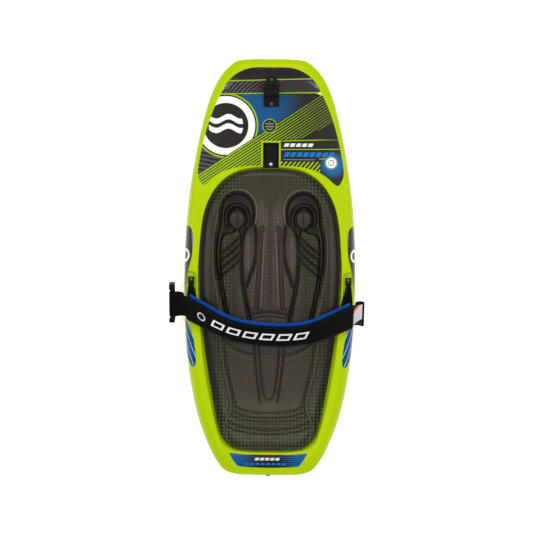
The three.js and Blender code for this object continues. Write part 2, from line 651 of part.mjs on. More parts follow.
// The shaft is one piece with the pinion. A space between teeth faces the rack.
function dialShaft() {
  const base = PITCH_RADIUS * Math.cos(PRESSURE_ANGLE);
  const involute = (radius) => {
    const angle = Math.acos(Math.min(1, base / radius));
    return Math.tan(angle) - angle;
  };
  const halfTooth = (TOOTH_PITCH / 2 - BACKLASH / 2) / 2 / PITCH_RADIUS;
  const half = (radius) => halfTooth + involute(PITCH_RADIUS) - involute(radius);
  const radii = [base, PITCH_RADIUS, PITCH_RADIUS + 0.6 * ADDENDUM, PITCH_RADIUS + ADDENDUM];
  const root = PITCH_RADIUS - DEDENDUM;
  const teeth = [];
  for (let i = 0; i < PINION_TEETH; i++) {
    const middle = ((i + 0.5) * 2 * Math.PI) / PINION_TEETH;
    const at = (radius, angle) => teeth.push([radius * Math.cos(middle + angle), radius * Math.sin(middle + angle)]);
    at(root, -half(base));
    for (const radius of radii) at(radius, -half(radius));
    for (const radius of [...radii].reverse()) at(radius, half(radius));
    at(root, half(base));
  }
  const pinion = upright(teeth, ROD_BASE - 1, ROD_BASE + ROD_HEIGHT + 1);
  const shaft = union(
    post(0, 0, 5, CASE_BASE - 3, 84), post(0, 0, 4, 83.9, 86.1), post(0, 0, 5, 86, 91), post(0, 0, 5.2, 90.9, 95.6, 6),
  );
  return union(pinion, shaft).translate([0, DIAL_Y, 0]);
}

const collar = (outer, inner, z0, z1) => cut(post(0, DIAL_Y, outer, z0, z1), post(0, DIAL_Y, inner, z0 - 1, z1 + 1));

function coverStrip() {
  const strip = box(-STRIP_HALF_WIDTH, STRIP_HALF_WIDTH, TRAY_REAR + 0.5, STRIP_FRONT, STRIP_BASE, STRIP_BASE + 3);
  return cut(strip, post(0, COVER_SCREW_Y, 2.4, 80, 120, 12));
}

piece("dial_tray", dialTray(), BLACK_NYLON);
piece("gear_case_floor", caseFloor(), BLACK_NYLON);
piece("dial", dial(), BLACK_NYLON);
piece("dial_shaft", dialShaft(), BLACK_NYLON);
piece("shaft_clip", collar(8, 4.3, 84.3, 85.7), STEEL);
piece("shaft_seal", collar(7.7, 5.3, TRAY_FLOOR + GAP, TRAY_FLOOR + 3.2), RUBBER);
piece("cover_strip", coverStrip(), BLACK_NYLON);
piece("cover_screw", screw(0, COVER_SCREW_Y, STRIP_BASE + 3 + GAP, 4.5, 2.6, 1.8, 9), STEEL);

// ---------------------------------------------------------------------------------------------------------
// Rod with rack and cam plate, and its conduit
// ---------------------------------------------------------------------------------------------------------

function finRod() {
  const front = DIAL_Y + (RACK_FRONT_TEETH + 0.5) * TOOTH_PITCH;
  const rear = DIAL_Y - (RACK_REAR_TEETH + 0.5) * TOOTH_PITCH;
  const slope = Math.tan(PRESSURE_ANGLE);
  const halfTooth = (TOOTH_PITCH / 2 - BACKLASH / 2) / 2;
  const rack = [[ROD_OUTER, rear], [ROD_OUTER, front], [PITCH_RADIUS + DEDENDUM, front]];
  for (let i = RACK_FRONT_TEETH; i >= -RACK_REAR_TEETH; i--) {
    const y = DIAL_Y + i * TOOTH_PITCH;
    const tip = halfTooth - ADDENDUM * slope;
    const root = halfTooth + DEDENDUM * slope;
    rack.push([PITCH_RADIUS + DEDENDUM, y + root], [PITCH_RADIUS - ADDENDUM, y + tip]);
    rack.push([PITCH_RADIUS - ADDENDUM, y - tip], [PITCH_RADIUS + DEDENDUM, y - root]);
  }
  rack.push([PITCH_RADIUS + DEDENDUM, rear]);
  const camFront = FIN_PIN_YS[0] + CAM_MARGIN;
  const camRear = FIN_PIN_YS[1] - TRAVEL - CAM_MARGIN;
  const bar = box(ROD_INNER, ROD_OUTER, camRear, rear + 5, ROD_BASE, ROD_BASE + ROD_HEIGHT);
  const plate = box(ROD_INNER, ROD_OUTER, camRear, camFront, CAM_BASE, ROD_BASE + 1);
  const radius = FIN_PIN_RADIUS + GAP;
  const steep = THREE.MathUtils.radToDeg(Math.atan2(FIN_DROP, TRAVEL));
  const slots = FIN_PIN_YS.map((y) => {
    const upper = arc(y, FIN_PIN_Z, radius, steep - 90, steep + 90, 8);
    const lower = arc(y - TRAVEL, FIN_PIN_Z - FIN_DROP, radius, steep + 90, steep + 270, 8);
    return sideways([...upper, ...lower], ROD_INNER - 5, ROD_OUTER + 5);
  });
  return cut(union(upright(rack, ROD_BASE, ROD_BASE + ROD_HEIGHT), bar, plate), ...slots);
}

function rodConduit() {
  const y0 = BOX_FRONT + BOX_WALL + GAP;
  const y1 = CASE_REAR - TRAY_WALL - GAP;
  return cut(channel(y0, y1, 3), channel(y0 - 1, y1 + 1, 0));
}

piece("fin_rod", finRod(), BLACK_NYLON);
piece("rod_conduit", rodConduit(), BLACK_NYLON);

// ---------------------------------------------------------------------------------------------------------
// Fin box, fins and pins
// ---------------------------------------------------------------------------------------------------------

function finBox() {
  const base = PLATE_BASE + PLATE_THICKNESS + GAP;
  const outer = box(-BOX_HALF_WIDTH - BOX_WALL, BOX_HALF_WIDTH + BOX_WALL, BOX_REAR - BOX_WALL, BOX_FRONT + BOX_WALL,
    base, BOX_TOP + BOX_WALL);
  const inner = box(-BOX_HALF_WIDTH, BOX_HALF_WIDTH, BOX_REAR, BOX_FRONT, base - 1, BOX_TOP);
  const slot = channel(BOX_FRONT - 1, BOX_FRONT + 10, 0);
  const guides = [];
  for (const side of [-1, 1]) {
    for (const y of FIN_PIN_YS) {
      const x0 = Math.min(side * GUIDE_X, side * (GUIDE_X + 4));
      const rib = box(x0, x0 + 4, y - 10, y + 10, base + 1, BOX_TOP + 0.5);
      const groove = box(x0 - 1, x0 + 5, y - FIN_PIN_RADIUS - GAP, y + FIN_PIN_RADIUS + GAP, 0, FIN_PIN_Z + 4);
      guides.push(cut(rib, groove));
    }
  }
  return union(cut(outer, inner, slot), ...guides);
}

function finPlate() {
  const plate = plateBox(PLATE_MARGIN, PLATE_BASE, PLATE_BASE + PLATE_THICKNESS);
  const ys = FIN_PROFILE.map(([y]) => y);
  const slots = [-1, 1].map((side) => box(side * FIN_X - FIN_THICKNESS / 2 - 0.5, side * FIN_X + FIN_THICKNESS / 2 + 0.5,
    Math.min(...ys) - 0.6, Math.max(...ys) + 0.6, -5, 20));
  const holes = plateScrews.map(([x, y]) => union(post(x, y, 2.3, -5, 10, 12), post(x, y, 4.5, -5, PLATE_BASE + 2.4, 12)));
  return cut(plate, ...slots, ...holes);
}

function fin(side) {
  const x = side * FIN_X;
  const blade = sideways(FIN_PROFILE, x - FIN_THICKNESS / 2, x + FIN_THICKNESS / 2);
  return cut(blade, ...FIN_PIN_YS.map((y) => rod(x - 5, x + 5, y, FIN_PIN_Z, FIN_PIN_RADIUS + GAP)));
}

piece("fin_box", finBox(), BLACK_NYLON);
piece("fin_plate", finPlate(), BLACK_NYLON);
piece("fin_left", fin(-1), BLACK_NYLON);
piece("fin_right", fin(1), BLACK_NYLON);
piece("fin_pin_front", rod(-46, 46, FIN_PIN_YS[0], FIN_PIN_Z, FIN_PIN_RADIUS), STEEL);
piece("fin_pin_rear", rod(-46, 46, FIN_PIN_YS[1], FIN_PIN_Z, FIN_PIN_RADIUS), STEEL);
plateScrews.forEach(([x, y], i) => {
  const flipped = screw(0, 0, 0, 4.1, 1.7, 2, 7.5).mirror([0, 0, 1]).translate([x, y, PLATE_BASE + 2.1]);
  piece(`plate_screw_${i + 1}`, flipped, STEEL);
});

// ---------------------------------------------------------------------------------------------------------
// Strap anchors
// ---------------------------------------------------------------------------------------------------------

function anchorBracket(side) {
  const x = side * ANCHOR_X;
  const base = POCKET_FLOOR + GAP;
  const block = box(x - ANCHOR_HALF_WIDTH, x + ANCHOR_HALF_WIDTH, -40, ANCHOR_FRONT, base, 96);
  const ears = [-1, 1].map((ear) => {
    const middle = x + ear * (ANCHOR_HALF_WIDTH - 1.5);
    return union(box(middle - 1.5, middle + 1.5, SWING_Y, -39, base, 97), rod(middle - 1.5, middle + 1.5, SWING_Y, SWING_Z, 5));
  });
  const pinHole = rod(x - 20, x + 20, SWING_Y, SWING_Z, SWING_PIN_RADIUS + GAP);
  return cut(union(block, ...ears), pinHole, post(x, ANCHOR_SCREW_Y, 2.6, 60, 120), post(x, ANCHOR_SCREW_Y, 5, 91, 120));
}

// The link turns on the pin and holds the webbing's end.
function strapLink(side) {
  const x = side * ANCHOR_X;
  const half = ANCHOR_HALF_WIDTH - 3 - GAP;
  const barrel = union(
    rod(x - half, x + half, SWING_Y, SWING_Z, 4.6),
    box(x - half, x + half, SWING_Y - 9, SWING_Y, SWING_Z - 3.4, SWING_Z - 0.6),
    box(x - ANCHOR_HALF_WIDTH, x + ANCHOR_HALF_WIDTH, SWING_Y - 44, SWING_Y - 7.5, SWING_Z - 3.4, SWING_Z - 0.6),
  );
  return cut(barrel, rod(x - 20, x + 20, SWING_Y, SWING_Z, SWING_PIN_RADIUS + GAP));
}

for (const [name, side] of [["left", -1], ["right", 1]]) {
  const x = side * ANCHOR_X;
  piece(`anchor_bracket_${name}`, anchorBracket(side), BLACK_NYLON);
  piece(`anchor_screw_${name}`, screw(x, ANCHOR_SCREW_Y, 91 + GAP, 4.5, 3, 2.3, 20), STEEL);
  piece(`anchor_insert_${name}`, insert(x, ANCHOR_SCREW_Y, POCKET_FLOOR - 14, POCKET_FLOOR), BRASS);
  piece(`anchor_pin_${name}`, rod(x - ANCHOR_HALF_WIDTH, x + ANCHOR_HALF_WIDTH, SWING_Y, SWING_Z, SWING_PIN_RADIUS), STEEL);
  piece(`strap_link_${name}`, strapLink(side), BLACK_NYLON);
}

// ---------------------------------------------------------------------------------------------------------
// Strap
// ---------------------------------------------------------------------------------------------------------

const archHeight = (x) => STRAP_RISE * (1 - Math.abs(x / STRAP_SPAN) ** 2.25);
const strapTilt = (x) => THREE.MathUtils.degToRad(
  47 - 12 * smooth((Math.abs(x) - 100) / 150) - 20 * smooth((Math.abs(x) - STRAP_SPAN) / 45),
);
const alongWidth = (x) => vec(0, Math.cos(strapTilt(x)), Math.sin(strapTilt(x)));
function strapMiddle([x, h]) {
  const tilt = strapTilt(x);
  return vec(x, STRAP_Y + STRAP_SKEW * x - h * Math.sin(tilt), STRAP_Z + h * Math.cos(tilt));
}

// A band along a path of [x, h] points, lying between two offsets outward from the path.
function bandAlong(path, halfWidth, from, to, columns = 3) {
  const layer = (offset) => path.map((point, i) => {
    const before = strapMiddle(path[Math.max(0, i - 1)]);
    const after = strapMiddle(path[Math.min(path.length - 1, i + 1)]);
    const across = alongWidth(point[0]);
    const normal = after.clone().sub(before).cross(across).normalize();
    return Array.from({ length: columns }, (_, j) => strapMiddle(point)
      .addScaledVector(across, halfWidth * ((2 * j) / (columns - 1) - 1))
      .addScaledVector(normal, offset));
  });
  return slab(layer(to), layer(from));
}

const archPath = (reach) => Array.from({ length: 21 }, (_, i) => {
  const x = THREE.MathUtils.clamp((i - 10) * (STRAP_SPAN / 10), -reach, reach);
  return [x, archHeight(x)];
});

// The webbing folds back on itself at both ends, on the left round the ring's bar.
const RIGHT_LOOP = [279, -20];
const LEFT_FOLD = [[-258, -17], [-274, -24], ...arc(...RING_AT, LOOP_RADIUS, -80, -250, 7), [-276, -12.5], [-262, -7]];
const RIGHT_FOLD = [[262, -7], [270, -11], ...arc(...RIGHT_LOOP, LOOP_RADIUS, 60, -95, 6), [268, -24], [258, -17]];

function sideWeb(side) {
  const rows = [[239, -54, 93.2, 8], [238, -70, 96, 11], [236, -86, 102, 14], [234, -108, 108, 18], [232, -126, 111, 21]];
  const layer = (lift) => rows.map(([x, y, z, half]) => [-half, half].map((dx) => vec(side * (x + side * dx), y, z + lift)));
  return slab(layer(WEBBING), layer(0));
}

// A frame as deep as its cheeks, thinned to a bar where the webbing's loop goes round it.
function buckleRing() {
  const a = RING_LENGTH / 2;
  const corner = 9;
  const top = RING_BAR / 2;
  const low = top - RING_HEIGHT;
  const outline = shapeOf([
    ...arc(a - corner, top - corner, corner, 0, 90, 4), ...arc(corner - a, top - corner, corner, 90, 180, 4),
    ...arc(corner - a, low + corner, corner, 180, 270, 4), ...arc(a - corner, low + corner, corner, 270, 360, 4),
  ]);
  const block = new THREE.ExtrudeGeometry(outline, { depth: RING_DEPTH, bevelEnabled: false });
  const hole = box(RING_BAR - a, a - RING_BAR, low + RING_BAR, -top, -RING_DEPTH, RING_DEPTH);
  const loopRoom = WEBBING_HALF_WIDTH + 8;
  const room = (z0, z1) => box(-loopRoom, loopRoom, -9, top + 1, z0, z1);
  const ring = cut(
    solid(block.translate(0, 0, -RING_DEPTH / 2)), hole, room(top, RING_DEPTH), room(-RING_DEPTH, -top),
  );
  const along = alongWidth(RING_AT[0]);
  const thick = vec(1, 0, 0);
  const place = new THREE.Matrix4().makeBasis(along, thick.clone().cross(along).normalize(), thick);
  return ring.transform(place.setPosition(strapMiddle(RING_AT)).toArray());
}

const half = WEBBING / 2;
piece("strap_webbing", bandAlong([...LEFT_FOLD, ...archPath(STRAP_SPAN), ...RIGHT_FOLD], WEBBING_HALF_WIDTH, -half, half), WEB);
piece("strap_cover", bandAlong(archPath(STRAP_SPAN - 1), COVER_HALF_WIDTH, half + LAYER_GAP, half + LAYER_GAP + COVER), WEB);
piece("strap_liner", bandAlong(archPath(STRAP_SPAN - 5), LINER_HALF_WIDTH, -half - LAYER_GAP - LINER, -half - LAYER_GAP), BLUE_FOAM);
piece("side_web_left", sideWeb(-1), WEB);
piece("side_web_right", sideWeb(1), WEB);
piece("buckle_ring", buckleRing(), BLACK_NYLON);
piece("strap_tag", bandAlong([[252, -1.2], [262, -7], [270, -11], [279, -12.5]], 34, half + LAYER_GAP, half + LAYER_GAP + 0.8), PALE_TAG);

export default object;
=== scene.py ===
"""Looks of the kneeboard: fine surfaces over the CAD frame, procedural materials, studio light and camera."""
import math

import bmesh
import bpy
import numpy as np
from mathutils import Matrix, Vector
from mathutils.bvhtree import BVHTree


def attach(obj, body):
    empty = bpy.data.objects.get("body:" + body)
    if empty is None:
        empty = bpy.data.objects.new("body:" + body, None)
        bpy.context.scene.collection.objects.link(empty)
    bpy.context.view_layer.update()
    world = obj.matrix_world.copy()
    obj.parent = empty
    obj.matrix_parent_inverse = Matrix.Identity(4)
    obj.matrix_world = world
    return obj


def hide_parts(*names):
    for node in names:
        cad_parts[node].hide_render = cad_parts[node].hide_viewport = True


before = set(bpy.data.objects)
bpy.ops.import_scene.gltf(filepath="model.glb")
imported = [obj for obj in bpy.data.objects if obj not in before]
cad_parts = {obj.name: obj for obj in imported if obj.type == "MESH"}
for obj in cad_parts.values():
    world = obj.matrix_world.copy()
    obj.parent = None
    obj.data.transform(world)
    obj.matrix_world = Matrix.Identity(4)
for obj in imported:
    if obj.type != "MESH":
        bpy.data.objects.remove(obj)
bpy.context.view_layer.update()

MM = 0.001

# ----- The board's surface in millimetres, by the same rules as the CAD -----

BOARD_OUTLINE = [
    (0, 635), (60, 634.5), (104, 629), (139, 603), (166, 566), (190, 511), (215, 420),
    (236, 315), (252, 200), (261, 60), (262, -60), (257, -200), (245, -320), (222, -437),
    (191, -528), (160, -589), (134, -620), (100, -632), (50, -634.5), (0, -635),
]
PAD_OUTLINE = [
    (0, 304), (50, 302), (95, 293), (130, 275), (158, 250), (180, 218), (197, 178),
    (207, 130), (213, 60), (215, 0), (213, -70), (207, -150), (197, -240), (183, -330),
    (167, -420), (154, -480), (138, -522), (108, -548), (60, -556), (0, -557),
]
HALF_LENGTH = 635
DECK_HEIGHT, DECK_NOSE_RISE, DECK_TAIL_DROP, DECK_FLAT_TO = 100, 24, 36, 150  # level between + and - 150
HULL_NOSE_KICK, HULL_NOSE_FROM, HULL_TAIL_KICK, HULL_TAIL_FROM = 90, 120, 28, -380
EDGE_SHARE = 0.45  # the widest line's height, as a share of the way from hull to deck
DECK_ROLL, DECK_ROLL_SHARE, HULL_ROLL, ROLL_POWER = 58, 0.72, 62, 2.2
RECESS_DEPTH, LIP, REAR_LIP = 12, 6, 22
PAD_EDGE, PAD_THICKNESS, PAD_CROWN_AT = 9, 26, 34
SPINE_ENDS = (-470, 215)
KNOTS = 2 * (len(BOARD_OUTLINE) - 1)


def catmull(points, knots):
    """Points of a closed centripetal Catmull-Rom curve at the given knots."""
    points = np.array(points, float)
    count = len(points)
    knots = np.mod(np.asarray(knots, float), count)
    first = np.floor(knots).astype(int)
    t = (knots - first)[:, None]
    p0, p1, p2, p3 = (points[(first + k) % count] for k in (-1, 0, 1, 2))
    d0, d1, d2 = (np.sqrt(np.linalg.norm(b - a, axis=1))[:, None] for a, b in ((p0, p1), (p1, p2), (p2, p3)))
    m1 = ((p1 - p0) / d0 - (p2 - p0) / (d0 + d1) + (p2 - p1) / d1) * d1
    m2 = ((p2 - p1) / d1 - (p3 - p1) / (d1 + d2) + (p3 - p2) / d2) * d1
    c2 = -3 * p1 + 3 * p2 - 2 * m1 - m2
    c3 = 2 * p1 - 2 * p2 + m1 + m2
    return p1 + m1 * t + c2 * t**2 + c3 * t**3


def closed(half):
    """An outline from its right-hand half, listed from one end to the other."""
    return half + [(-x, y) for x, y in reversed(half) if x]


def smooth(t):
    s = np.clip(t, 0, 1)
    return s * s * (3 - 2 * s)


def ramp(value, start, end):
    return np.maximum(0, (value - start) / (end - start))


def deck_height(y):
    rise = DECK_NOSE_RISE * ramp(y, DECK_FLAT_TO, HALF_LENGTH) ** 2
    return DECK_HEIGHT + rise - DECK_TAIL_DROP * ramp(y, -DECK_FLAT_TO, -HALF_LENGTH) ** 2


def hull_height(y):
    nose = HULL_NOSE_KICK * ramp(y, HULL_NOSE_FROM, HALF_LENGTH) ** 2
    return nose + HULL_TAIL_KICK * ramp(y, HULL_TAIL_FROM, -HALF_LENGTH) ** 2


def edge_height(y):
    return hull_height(y) + EDGE_SHARE * (deck_height(y) - hull_height(y))


def roll(distance, width):
    t = np.clip(distance / width, 0, 1)
    return (1 - (1 - t) ** ROLL_POWER) ** (1 / ROLL_POWER)


def spine(inner):
    """The point on the middle line that each ring of the board and of the pad runs in to."""
    return np.stack([np.zeros(len(inner)), np.clip(inner[:, 1], *SPINE_ENDS)], axis=1)


def board_body(samples):
    """Vertices and faces of the board's closed body, with so many rings from knot to knot."""
    knots = np.arange(KNOTS * samples) / samples
    outer = catmull(closed(BOARD_OUTLINE), knots)
    inner = catmull(closed(PAD_OUTLINE), knots)
    middle = spine(inner)
    length = np.linalg.norm(inner - outer, axis=1)
    rear = smooth(ramp(-inner[:, 1], 120, 330)) * smooth(ramp(np.abs(inner[:, 0]), 90, 150))
    lip = LIP + (REAR_LIP - LIP) * rear
    width = np.minimum(DECK_ROLL, DECK_ROLL_SHARE * length)
    lip_start = length - lip

    def on_deck(distance):
        p = outer + (inner - outer) * (distance / length)[:, None]
        edge = edge_height(p[:, 1])
        drop = RECESS_DEPTH * smooth((distance - lip_start) / lip)
        return np.column_stack([p, edge + (deck_height(p[:, 1]) - edge) * roll(distance, width) - drop])

    rings = []
    for t in (1, 0.66, 0.33):
        p = inner + (middle - inner) * t
        rings.append(np.column_stack([p, deck_height(p[:, 1]) - RECESS_DEPTH]))
    rings += [on_deck(lip_start + t * lip) for t in (1, 0.86, 0.72, 0.58, 0.44, 0.3, 0.14, 0)]
    rings += [on_deck(width + t * (lip_start - width)) for t in (0.85, 0.6, 0.35, 0.1)]
    rings += [on_deck(t * width) for t in np.linspace(1, 0, 17) ** 1.6]
    inboard = middle - outer
    inboard /= np.linalg.norm(inboard, axis=1)[:, None]
    for t in np.linspace(0, 1, 12)[1:] ** 1.6:
        p = outer + inboard * (t * HULL_ROLL)
        edge = edge_height(p[:, 1])
        rings.append(np.column_stack([p, edge - (edge - hull_height(p[:, 1])) * roll(t, 1)]))
    start = rings[-1][:, :2]
    for t in (0.2, 0.4, 0.6, 0.8, 1):
        p = start + (middle - start) * t
        rings.append(np.column_stack([p, hull_height(p[:, 1])]))
    return grid_mesh(np.array(rings), wrap=True)


def grid_mesh(rows, wrap=False):
    """Vertices and quads of a grid of points, rows[row][column]. wrap joins the last column to the first."""
    count, columns = rows.shape[:2]
    faces = []
    for i in range(count - 1):
        for j in range(columns if wrap else columns - 1):
            k = (j + 1) % columns
            faces.append((i * columns + j, (i + 1) * columns + j, (i + 1) * columns + k, i * columns + k))
    return rows.reshape(-1, 3), faces


def arc(centre, radius, start, end, count):
    """Points on a circle from one angle to another, in degrees."""
    angles = np.radians(np.linspace(start, end, count))
    return np.array(centre) + radius * np.stack([np.cos(angles), np.sin(angles)], axis=1)


def place_in_scene(name, data):
    obj = bpy.data.objects.new(name, data)
    bpy.context.scene.collection.objects.link(obj)
    return obj


def mesh_object(name, verts, faces, material, sharp=None, merge=1e-5):
    """A new object from vertices in millimetres, merged, with its faces turned outwards."""
    mesh = bpy.data.meshes.new(name)
    mesh.from_pydata([tuple(v) for v in np.asarray(verts) * MM], [], faces)
    work = bmesh.new()
    work.from_mesh(mesh)
    if merge:
        bmesh.ops.remove_doubles(work, verts=work.verts, dist=merge)
    bmesh.ops.recalc_face_normals(work, faces=work.faces)
    for face in work.faces:
        face.smooth = True
    work.to_mesh(mesh)
    work.free()
    if sharp:
        mesh.set_sharp_from_angle(angle=math.radians(sharp))
    if material:
        mesh.materials.append(material)
    return place_in_scene(name, mesh)


def cutter(name, outline, z0, z1):
    """A prism from one height to another, to cut with."""
    count = len(outline)
    verts = [(x, y, z) for z in (z0, z1) for x, y in outline]
    faces = [tuple(range(count)), tuple(range(2 * count - 1, count - 1, -1))]
    faces += [(i, i + count, (i + 1) % count + count, (i + 1) % count) for i in range(count)]
    return mesh_object(name, verts, faces, None)


def round_edges(obj, width, segments, angle):
    """Rounds the edges sharper than the angle, by a width in millimetres."""
    edge = obj.modifiers.new("edges", "BEVEL")
    edge.width = width * MM
    edge.segments = segments
    edge.limit_method = "ANGLE"
    edge.angle_limit = math.radians(angle)


def stand_in(obj, node, body):
    """Puts obj in its CAD node's place, on a body."""
    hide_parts(node)
    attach(obj, body)


def rectangle(x0, x1, y0, y1):
    return [(x0, y0), (x1, y0), (x1, y1), (x0, y1)]


def cut_with(obj, cutters):
    """Subtracts the cutters from obj, then removes them."""
    for tool in cutters:
        step = obj.modifiers.new("cut", "BOOLEAN")
        step.object = tool
        step.operation = "DIFFERENCE"
        step.solver = "EXACT"
    graph = bpy.context.evaluated_depsgraph_get()
    mesh = bpy.data.meshes.new_from_object(obj.evaluated_get(graph))
    obj.modifiers.clear()
    obj.data = mesh
    for tool in cutters:
        bpy.data.objects.remove(tool)


# ----- Materials -----


def srgb(r, g, b):
    def linear(c):
        c /= 255
        return c / 12.92 if c <= 0.04045 else ((c + 0.055) / 1.055) ** 2.4
    return (linear(r), linear(g), linear(b), 1)


def add_node(tree, kind, inputs, **settings):
    """A shader node with its settings made. Each input takes a value, or a link from a field or socket."""
    node = tree.nodes.new("ShaderNode" + kind)
    for name, value in settings.items():
        setattr(node, name, value)
    for slot, value in inputs.items():
        value = value.socket if isinstance(value, Field) else value
        if isinstance(value, bpy.types.NodeSocket):
            tree.links.new(value, node.inputs[slot])
        else:
            node.inputs[slot].default_value = value
    return node


class Field:
    """A number at each point of a surface, worked out by math nodes."""

    def __init__(self, tree, socket):
        self.tree = tree
        self.socket = socket

    def op(self, operation, *others):
        node = add_node(self.tree, "Math", dict(enumerate((self, *others))), operation=operation)
        return Field(self.tree, node.outputs[0])

    def __add__(self, other):
        return self.op("ADD", other)

    def __sub__(self, other):
        return self.op("SUBTRACT", other)

    def __mul__(self, other):
        return self.op("MULTIPLY", other)

    def __truediv__(self, other):
        return self.op("DIVIDE", other)

    def above(self, other):
        return self.op("GREATER_THAN", other)

    def below(self, other):
        return self.op("LESS_THAN", other)

    def between(self, low, high):
        return self.above(low) * self.below(high)

    def near(self, other, half):
        return (self - other).op("ABSOLUTE").below(half)

    def stripes(self, pitch, share):
        """1 on a share of each pitch, else 0."""
        return (self / pitch).op("FRACT").below(share)

    def ease(self, low, high):
        """0 up to low, 1 from high on, and a soft run between."""
        inputs = {"Value": self, "From Min": low, "From Max": high}
        node = add_node(self.tree, "MapRange", inputs, interpolation_type="SMOOTHSTEP")
        return Field(self.tree, node.outputs["Result"])


def hypot(a, b):
    return (a * a + b * b).op("SQRT")


class Paint:
    """A material with a Principled shader, and helpers that build its colour and bump from fields."""

    def __init__(self, name, base, roughness, metallic=0.0, specular=0.5, coat=0.0, sheen=0.0):
        self.material = bpy.data.materials.new(name)
        self.material.use_nodes = True
        self.tree = self.material.node_tree
        self.shader = self.tree.nodes["Principled BSDF"]
        settings = {
            "Base Color": base, "Roughness": roughness, "Metallic": metallic, "Specular IOR Level": specular,
            "Coat Weight": coat, "Coat Roughness": 0.06, "Sheen Weight": sheen,
        }
        for slot, value in settings.items():
            self.set(slot, value)
        self.colour = base
        places = add_node(self.tree, "TexCoord", {})
        self.object_place = places.outputs["Object"]
        self.uv_place = places.outputs["UV"]
        self.normal = None

    def set(self, slot, value):
        self.shader.inputs[slot].default_value = value

    def millimetres(self, place, count):
        split = add_node(self.tree, "SeparateXYZ", {0: place})
        return [Field(self.tree, out) / MM for out in split.outputs[:count]]

    def axes(self):
        """Fields of the place along X, Y and Z."""
        return self.millimetres(self.object_place, 3)

    def uv(self):
        """Fields of the place along a band and across it."""
        return self.millimetres(self.uv_place, 2)

    def attribute(self, name):
        node = add_node(self.tree, "Attribute", {}, attribute_name=name)
        return Field(self.tree, node.outputs["Fac"])

    def noise(self, scale, detail=3.0, rough=0.5, stretch=(1, 1, 1)):
        mapping = add_node(self.tree, "Mapping", {"Vector": self.object_place, "Scale": stretch})
        inputs = {"Vector": mapping.outputs[0], "Scale": scale, "Detail": detail, "Roughness": rough}
        return Field(self.tree, add_node(self.tree, "TexNoise", inputs).outputs["Fac"])

    def mix(self, mode, factor, colour):
        """Mixes a colour into what is painted so far."""
        inputs = {0: factor, 6: self.colour, 7: colour}
        node = add_node(self.tree, "Mix", inputs, data_type="RGBA", blend_type=mode)
        self.colour = node.outputs[2]
        self.tree.links.new(self.colour, self.shader.inputs["Base Color"])

    def over(self, mask, colour):
        """Lays a colour over what is painted so far, where mask is 1."""
        self.mix("MIX", mask, colour)

    def vary(self, field, low, high):
        """Multiplies the colour by a grey that runs from low to high as the field runs from 0 to 1."""
        self.mix("MULTIPLY", 1.0, field * (high - low) + low)

    def roughness(self, field, low, high):
        self.tree.links.new((field * (high - low) + low).socket, self.shader.inputs["Roughness"])

    def bump(self, height, distance, strength=1.0):
        """Adds a bump whose height field runs over that distance in metres."""
        inputs = {"Height": height, "Strength": strength, "Distance": distance}
        if self.normal:
            inputs["Normal"] = self.normal
        self.normal = add_node(self.tree, "Bump", inputs).outputs["Normal"]
        self.tree.links.new(self.normal, self.shader.inputs["Normal"])


LIME = srgb(166, 192, 0)
LIME_PRINT = srgb(146, 184, 0)
INK = srgb(34, 28, 25)
WHITE = srgb(236, 236, 236)
ORANGE = srgb(238, 112, 16)
WARM_BLACK = srgb(10, 8, 7)
DOT_PITCH, DOT_RADIUS = 11, 0.14  # the pad's pits: millimetres, and a share of the pitch
ROUNDEL_AT, BADGE_AT, DISC_AT = (-137, 432), (-5, 432), (183, 322)
SIDE_RING_AT = (256, 40, 78)
SEAM_AT = 38.5  # each side of the strap cover's middle


def lime_plastic():
    paint = Paint("lime_polyethylene", LIME, 0.36, specular=0.25)
    paint.set("Specular Tint", (0.85, 1.0, 0.15, 1))
    clouds = paint.noise(5, 4)
    paint.vary(clouds, 0.93, 1.06)
    scuffs = paint.noise(90, 5, 0.6, (1, 0.15, 1))
    paint.roughness(scuffs, 0.26, 0.46)
    paint.bump(paint.noise(420, 2), 0.00012, 0.25)
    paint.bump(paint.noise(28, 2), 0.0012, 0.08)
    return paint.material


def eva_foam():
    paint = Paint("eva_foam", srgb(45, 38, 33), 0.26, specular=0.14)
    paint.set("Specular Tint", (1.0, 0.9, 0.8, 1))
    x, y, _ = paint.axes()
    paint.vary(paint.noise(9, 4), 0.88, 1.12)
    relief_height = paint.attribute("relief")
    # painted shade: the colour darkens down to a quarter in the relief's hollows and grooves, where shade
    # falls
    paint.vary((relief_height * -1).ease(0.8, 6.5), 1.08, 0.25)
    # painted highlight: the colour lightens up to 3.4 times on the relief's ridges and rims
    paint.vary(relief_height.ease(0.3, 2.8), 1.0, 3.4)
    dots = hypot((x / DOT_PITCH).op("FRACT") - 0.5, (y / DOT_PITCH).op("FRACT") - 0.5)
    dot = dots.below(DOT_RADIUS)
    across = x.op("ABSOLUTE")
    # painted shade and highlight: lighter over the middle of the pad, darker towards its sides
    paint.vary(across.ease(50, 190), 1.15, 0.55)
    outer = across.ease(60, 140) * (across * -1).ease(-190, -160) * 0.5
    outer = outer + y.ease(150, 250) * 0.35 + (y * -1).ease(360, 500) * 0.75
    dot = dot * relief_height.above(-3.5)
    paint.over(dot, srgb(6, 6, 5))
    paint.over(dot * outer.op("MINIMUM", 1.0), srgb(62, 150, 34))
    paint.bump(dots.ease(0.10, 0.19), 0.0005, 0.6)
    paint.bump(paint.noise(900, 3, 0.6), 0.0003, 0.3)
    return paint.material


